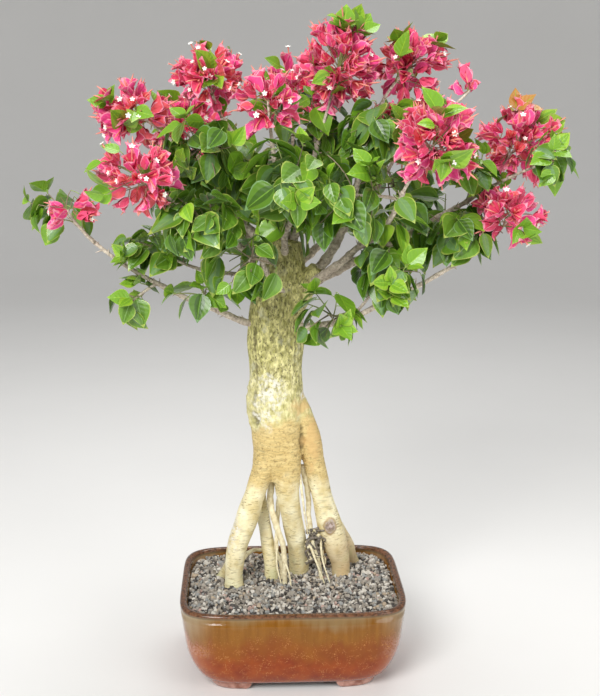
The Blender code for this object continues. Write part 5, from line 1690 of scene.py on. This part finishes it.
def rosette(plant, index, tip, heading, rng, scheme=LIME, slack=1.14, sizes=(0.42, 0.66)):
    """A few small young leaves that stand up round a twig's end."""
    start = rng.uniform(0.0, FULL_TURN)
    for number in range(rng.integers(3, 6)):
        around = round_heading(heading, start, number, GOLDEN_ANGLE)
        lean = rng.uniform(0.55, 1.05)
        direction = unit(heading * math.cos(lean) + around * math.sin(lean))
        normal = unit(heading * math.sin(lean) - around * math.cos(lean))
        kind = scheme if rng.random() < 0.45 else FRESH
        plant.leaf(index, tip, direction, normal, rng.uniform(*sizes), kind, rng, slack)


def leaves_on_twig(plant, index, path, outward, count, slack, rng):
    """Leaves from the twig's end backwards, each turned until there is room for it."""
    length = np.linalg.norm(path[-1] - path[0])
    heading = unit(path[-1] - path[0])
    start = rng.uniform(0.0, FULL_TURN)
    added = 0
    for place in range(count):
        node = along(path, max(0.0, 1.0 - place * LEAF_NODE / length))
        shares = YOUNG_SHARES if place < 2 else OLD_SHARES
        for attempt in range(TRIES):
            turn = start + place * NODE_TURN + attempt * TRY_TURN
            direction, normal = leaf_pose(outward, heading, turn, rng)
            size = rng.uniform(*LEAF_SPREAD) * (0.80 if place == 0 else 1.0)
            scheme = rng.choice(len(LEAF_SCHEMES), p=shares)
            if plant.leaf(index, node, direction, normal, size, scheme, rng, slack):
                added += 1
                break
    return added


def reach_twig(plant, index, free, outward, pulls, shorter, rng):
    """A slot on the stem and the path of a twig from it to a spot in the mass, or nothing."""
    mass, stem = MASSES[index], plant.stems[index]
    reach = 1.0 / np.linalg.norm(outward / np.array(mass.radii))
    for pull in pulls:
        spot = np.array(mass.middle) + outward * max(0.1 * reach, reach * pull - shorter)
        slot = nearest_slot(stem, free, spot)
        base = along(stem, slot)
        if plant.room.holds(index, [base + (spot - base) * s for s in (0.4, 0.7, 1.0)]):
            sag = np.linalg.norm(spot - base) * (np.array([0.0, 0.0, 0.04]) + rng.normal(size=3) * 0.035)
            return slot, bends(base[None], spot[None], sag[None], 7)[0]
    return None, None


def grow_foliage(plant, index):
    """Sends leafy twigs evenly all round the mass's stem until it has its leaves."""
    rng = np.random.default_rng(FIRST_SEED + index)
    wanted = int(MASSES[index].leaves * LEAVES_FOR_ONE * AIRY.get(MASSES[index].place, 1.0))
    before = len(plant.leaves)
    twigs = math.ceil(wanted / LEAVES_PER_TWIG * 2.6)
    free = slots_on(plant.stems[index], index, plant.room, 0.0018)
    ways = list(spread(twigs))
    for number in rng.permutation(twigs):
        if len(plant.leaves) - before >= wanted or not free:
            break
        outward = unit(ways[number] + rng.normal(size=3) * WAY_NOISE)
        slot, path = reach_twig(plant, index, free, outward, LEAF_PULLS, LEAF_SIZE[0] * 0.42, rng)
        if slot is None:
            continue
        length = np.linalg.norm(path[-1] - path[0])
        count = min(LEAVES_PER_TWIG + 1, max(2, int(length / LEAF_NODE)))
        if leaves_on_twig(plant, index, path, outward, count, LEAF_SLACK, rng):
            plant.twigs.append(path)
            free.remove(slot)
            if rng.random() < ROSETTE_SHARE:
                rosette(plant, index, path[-1], unit(path[-1] - path[0] + (0.0, 0.0, 0.4 * length)), rng)


# Boughs whose sides carry leaves of their own, and from which share of their length on.
LEAFY_BOUGHS = {
    "left_front": 0.50, "left_rear": 0.40, "upper_left": 0.40, "upper_middle": 0.36, "front_middle": 0.50,
    "top": 0.40, "upper_right": 0.36, "right_front": 0.45, "right": 0.45,
    "back_left": 0.45, "back_middle": 0.45, "back_right": 0.45,
}
SPRIG_APART = 0.0105
SPRIG_RUN = (0.010, 0.026)


def grow_sprigs(plant):
    """Short leafy twigs along the boughs, which fill the crown between its masses."""
    rng = np.random.default_rng(FIRST_SEED + 600)
    for place, begin in LEAFY_BOUGHS.items():
        path = plant.laid[place][0]
        length = run_along(path)[-1]
        index = min(number for number, mass in enumerate(MASSES) if mass.bough == place)
        for number, share in enumerate(np.arange(begin, 0.98, SPRIG_APART / length)):
            node = along(path, share)
            heading = unit(along(path, min(1.0, share + 0.05)) - along(path, share - 0.05))
            around = round_heading(heading, 0.7, number, GOLDEN_ANGLE)
            outward = unit(heading * 0.5 + around)
            end = node + outward * rng.uniform(*SPRIG_RUN)
            twig = bends(node[None], end[None], rng.normal(size=(1, 3)) * 0.001, 7)[0]
            if leaves_on_twig(plant, index, twig, outward, rng.integers(2, 4), None, rng):
                plant.twigs.append(twig)


# ---------------------------------------------------------------- blossom

BRACT_SIZE = (0.0222, 0.0150)
FLOWERS_FOR_ONE = 4.1
GROUP = 3  # flowers at the end of one twig
GROUP_APART = 0.0125
FLOWER_APART = 0.0085
LAYERS = (0.80, 0.74, 0.60, 0.46, 0.30)  # how far out the groups stand, as shares of the mass's radii
GREEN_SHARE = 0.42  # of the groups have young leaves among them
BLUSH_SHARE = 0.04  # of those young leaves are reddish
FLOWER_OPEN = (0.22, 0.74)  # how far a flower's bracts lean out, in radians
OPEN_SHARE = 0.15  # of the tubes end in a white star
FLORET_TONES = {
    "floret_tube": (0.82, 0.29, 0.22),
    "floret_white": (0.90, 0.88, 0.80),
}
# Young shoots that stand out of the blossom, by the way they point from its middle.
SHOOTS = {
    "top": ((0.05, -0.45, 0.8), (0.5, -0.4, 0.7), (-0.9, -0.5, 0.1)),
    "upper_right": ((0.25, -0.2, 1.0), (0.7, -0.3, 0.8), (1.0, -0.2, 0.3)),
    "right": ((0.8, -0.6, -0.2), (0.4, -0.3, 1.0), (0.9, -0.5, 0.5)),
    "left_high": ((-0.9, -0.5, 0.6), (-0.2, -0.7, 0.5)),
    "left_low": ((-0.9, -0.5, 0.5), (-0.5, -0.5, 0.9), (-0.9, -0.6, -0.5)),
    "upper_left": ((0.5, -0.4, 0.7),),
    "right_front": ((0.1, -0.6, 0.9), (0.2, -0.9, -0.5)),
    "low_right": ((0.5, -0.6, -0.8), (-0.5, -0.5, -0.8)),
    "left_tip": ((-0.4, -0.4, 1.0), (-0.8, -0.4, 0.2)),
    "back_left": ((-0.3, 0.5, 1.0), (-0.9, 0.3, 0.3)),
    "back_middle": ((0.1, 0.6, 1.0), (-0.4, 0.8, 0.3)),
    "back_right": ((0.4, 0.6, 0.9), (0.9, 0.4, 0.2)),
}


def flower(plant, index, place, heading, size, openness, scheme, rng):
    """Three bracts round a heading, each with a thin tube on its rib; some tubes end in a white star."""
    start = rng.uniform(0.0, FULL_TURN)
    for number in range(3):
        around = round_heading(heading, start + rng.normal() * 0.12, number, 2.0 * math.pi / 3)
        length, width = BRACT_SIZE[0] * size * rng.uniform(0.9, 1.1), BRACT_SIZE[1] * size
        tone = scheme if rng.random() < 0.6 else rng.choice(len(BRACT_SCHEMES), p=BRACT_SHARES)
        lean = (openness * rng.uniform(0.45, 0.85), openness * rng.uniform(1.0, 1.8))
        wave = rng.uniform(0.03, 0.09)
        plant.bracts.append((*place, *around, *heading, length, width, *lean, wave, tone, index))
        along_tube = unit(heading * math.cos(openness * 0.5) + around * math.sin(openness * 0.5))
        run = length * rng.uniform(0.75, 1.32)
        plant.florets.append((place, along_tube, run, size, rng.random() < OPEN_SHARE))


def grow_shoots(plant, index, free, rng):
    """The young shoots that stand out of this mass of blossom."""
    for way in SHOOTS.get(MASSES[index].place, ()):
        outward = unit(np.array(way))
        slot, path = reach_twig(plant, index, free, outward, (1.0, 0.9, 0.8), LEAF_SIZE[0] * 0.30, rng)
        if slot is not None:
            free.remove(slot)
            plant.twigs.append(path)
            for share, sizes in ((1.0, (0.50, 0.80)), (0.72, (0.66, 0.98))):
                rosette(plant, index, along(path, share), outward, rng, LIME, 1.2, sizes)


def crowds(places, spot, apart):
    return np.linalg.norm(np.array(places) - spot, axis=1).min() < apart


def grow_blossom(plant, index):
    """Groups of flowers all over the mass and within it, on stalks from its stem."""
    mass = MASSES[index]
    rng = np.random.default_rng(FIRST_SEED + index)
    wanted = max(9, int(mass.leaves * FLOWERS_FOR_ONE))
    free = slots_on(plant.stems[index], index, plant.room, 0.0010)
    grow_shoots(plant, index, free, rng)
    places = [FAR_OFF]
    for pull in LAYERS:
        ways = list(spread(max(3, int(wanted * pull**2))))
        for number in rng.permutation(len(ways)):
            if len(places) > wanted or not free:
                return
            outward = unit(ways[number] + rng.normal(size=3) * WAY_NOISE)
            shorter = BRACT_SIZE[0] * rng.uniform(0.55, 0.85)
            slot, path = reach_twig(plant, index, free, outward, (pull,), shorter, rng)
            if slot is None or crowds(places, path[-1], GROUP_APART) or hides_window(path[-1:]):
                continue
            plant.twigs.append(path)
            free.remove(slot)
            heading = outward * 0.85 + unit(path[-1] - path[0]) * 0.35 + np.array([0.0, 0.0, 0.20])
            flower_group(plant, index, path[-1], unit(heading), places, rng)


def flower_group(plant, index, tip, heading, places, rng):
    """A few flowers fanned out from a twig's end, of much the same colour, now and then with young leaves."""
    scheme = rng.choice(len(BRACT_SCHEMES), p=BRACT_SHARES)
    start = rng.uniform(0.0, FULL_TURN)
    for number in range(GROUP):
        around = round_heading(heading, start, number, 2.0 * math.pi / GROUP)
        spot = tip + around * rng.uniform(0.55, 1.0) * FLOWER_APART + heading * rng.uniform(-0.006, 0.003)
        if crowds(places, spot, FLOWER_APART * 0.8):
            continue
        size = rng.uniform(0.78, 1.12)
        facing = unit(heading + around * rng.uniform(0.2, 0.6) + rng.normal(size=3) * 0.18)
        plant.stalks.append((tip - heading * 0.005, spot))
        flower(plant, index, spot, facing, size, rng.uniform(*FLOWER_OPEN), scheme, rng)
        places.append(spot)
    if rng.random() < GREEN_SHARE:
        kind = BLUSH if rng.random() < BLUSH_SHARE else LIME
        ahead = unit(heading + rng.normal(size=3) * 0.4)
        rosette(plant, index, tip + ahead * 0.008, ahead, rng, kind, 1.2, (0.45, 0.80))


STAR_LOBES = 5
STAR_RADIUS = 0.0033
LOBE = (1.0, 0.84, 0.50, 0.84)  # how far the star's edge reaches, round one lobe
FLORET_RADIUS = 0.00085
# How wide a tube is along its length, as a bud and with a star at its end.
BUD = np.array([0.5, 1.05, 0.90, 0.85, 1.20, 0.20])
TUBE = np.array([0.5, 1.05, 0.90, 0.78, 0.90, 1.10])


def star_shape():
    """A white star of five notched lobes round a low throat."""
    points = [(0.0, 0.0, -0.12)]
    count = STAR_LOBES * len(LOBE)
    for i in range(count):
        angle = 2.0 * math.pi * i / count
        reach = LOBE[i % len(LOBE)]
        points.append((reach * math.cos(angle), reach * math.sin(angle), 0.16 * reach))
    faces = [(0, 1 + i, 1 + (i + 1) % count) for i in range(count)]
    return np.array(points), np.array(faces)


def build_florets(florets):
    """The thin tubes in the flowers, closed as buds or open as white stars."""
    rng = np.random.default_rng(FIRST_SEED + 900)
    pile = Pile()
    starts, headings, runs, sizes, opened = (np.array(column) for column in zip(*florets))
    ends = starts + headings * runs[:, None]
    paths = bends(starts, ends, rng.normal(size=starts.shape) * 0.0008, 6)
    radii = np.where(opened[:, None], TUBE, BUD) * FLORET_RADIUS * sizes[:, None]
    add_tubes(pile, paths, radii, 5, np.zeros(len(starts), int))
    points, faces = star_shape()
    across = units(np.cross(headings[opened], [[0.3, 0.5, 0.8]]))
    axes = (across, np.cross(headings[opened], across), headings[opened])
    scale = STAR_RADIUS * sizes[opened, None, None]
    turned = sum(points[None, :, i, None] * axis[:, None] for i, axis in enumerate(axes))
    pile.add(ends[opened, None] + scale * turned, faces, 1)
    finishes = [plain_finish(name, tone, 0.6, 700.0, 0.3) for name, tone in FLORET_TONES.items()]
    add_piece("florets", pile, finishes, [], "bract")


PETIOLE_RADIUS = 0.00042
STALK_RADIUS = 0.00050
TWIG_TONES = {
    "twig_brown": (0.27, 0.21, 0.14),
    "twig_green": (0.22, 0.25, 0.08),
    "leaf_stalk": (0.30, 0.42, 0.09),
    "flower_stalk": (0.36, 0.20, 0.10),
}


def build_twigs(plant):
    """The twigs that carry leaves and flowers, and the leaves' stalks."""
    rng = np.random.default_rng(FIRST_SEED + 950)
    pile = Pile()
    paths = np.array(plant.twigs)
    radii = np.linspace(*TWIG_RADII, paths.shape[1])[None] * rng.uniform(0.85, 1.2, size=(len(paths), 1))
    add_tubes(pile, paths, radii, 5, (rng.random(len(paths)) < 0.45).astype(int))
    for stalks, radius, tone in ((plant.petioles, PETIOLE_RADIUS, 2), (plant.stalks, STALK_RADIUS, 3)):
        starts, ends = (np.array(column) for column in zip(*stalks))
        sag = np.zeros_like(starts) + (0.0, 0.0, 0.0006)
        add_tubes(pile, bends(starts, ends, sag, 4), radius, 4, np.full(len(starts), tone))
    finishes = [plain_finish(name, tone, 0.7, 900.0, 0.5) for name, tone in TWIG_TONES.items()]
    add_piece("twigs", pile, finishes, [], "twig_bark")


# ---------------------------------------------------------------- studio

FLOOR_RADIUS = 2.6
FLOOR_RIM = 1.9
FLOOR_SIDES = 96
LIGHT_AIM = Vector((0.0, 0.0, 0.42))
# Each light's place, size and power.
LIGHTS = {
    "key": ((-0.9, -1.9, 1.7), 1.2, 56.0),
    "fill": ((1.5, -1.5, 1.0), 1.5, 15.0),
    "top": ((0.2, 0.5, 2.1), 1.4, 22.0),
}
SKY = (0.98, 0.99, 1.0, 1.0)
SKY_STRENGTH = 0.34


def build_floor():
    """A pale floor that curves up far outside the view on every side."""
    angles = np.arange(FLOOR_SIDES) * 2.0 * math.pi / FLOOR_SIDES
    profile = [(0.0, 0.0), (0.05, 0.0), (1.0, 0.0), (FLOOR_RADIUS, 0.0)]
    for t in np.linspace(0.0, math.pi / 2, 12)[1:]:
        profile.append((FLOOR_RADIUS + FLOOR_RIM * math.sin(t), FLOOR_RIM * (1.0 - math.cos(t))))
    rings = [
        np.column_stack([radius * np.cos(angles), radius * np.sin(angles), np.full(FLOOR_SIDES, height)])
        for radius, height in profile
    ]
    pale = Finish("floor", (0.80, 0.79, 0.77), 0.9)
    pale.show(base_color=pale.mix(pale.noise(3.0, 3.0), (0.78, 0.77, 0.75), (0.82, 0.81, 0.79)))
    add_object("floor", ring_pile(rings).mesh("floor"), [pale.material])


def build_lights():
    for name, (place, size, power) in LIGHTS.items():
        lamp = bpy.data.lights.new(name, "AREA")
        lamp.shape = "DISK"
        lamp.size = size
        lamp.energy = power
        made = bpy.data.objects.new(name, lamp)
        made.location = place
        made.rotation_euler = (LIGHT_AIM - Vector(place)).to_track_quat("-Z", "Y").to_euler()
        bpy.context.scene.collection.objects.link(made)
    world = bpy.data.worlds.new("studio")
    world.use_nodes = True
    background = world.node_tree.nodes["Background"]
    background.inputs["Color"].default_value = SKY
    background.inputs["Strength"].default_value = SKY_STRENGTH
    bpy.context.scene.world = world


def build_camera():
    lens = bpy.data.cameras.new("camera")
    lens.sensor_width = SENSOR
    lens.lens = FOCUS_PIXELS * SENSOR / max(PHOTO_SIZE)
    made = bpy.data.objects.new("camera", lens)
    made.location = np.array(CAMERA_PLACE) + SHIFT
    made.rotation_euler = (math.radians(90.0 - CAMERA_TILT), 0.0, math.radians(CAMERA_TURN))
    bpy.context.scene.collection.objects.link(made)
    bpy.context.scene.camera = made


# ---------------------------------------------------------------- the whole scene


def grown_plant(laid, stems):
    plant = Plant(laid, stems)
    for index, mass in enumerate(MASSES):
        grow = grow_foliage if mass.kind == "foliage" else grow_blossom
        grow(plant, index)
    grow_sprigs(plant)
    return plant


def main():
    build_camera()
    build_lights()
    build_floor()
    build_pot()
    build_gravel()
    build_trunk()
    build_roots()
    laid = lay_out_boughs()
    stems = [stem_path(mass, laid) for mass in MASSES]
    build_boughs(laid, stems)
    plant = grown_plant(laid, stems)
    build_blades(LEAVES, plant.leaves)
    build_blades(BRACTS, plant.bracts)
    build_florets(plant.florets)
    build_twigs(plant)


bpy.context.scene.view_settings.view_transform = "Standard"
main()
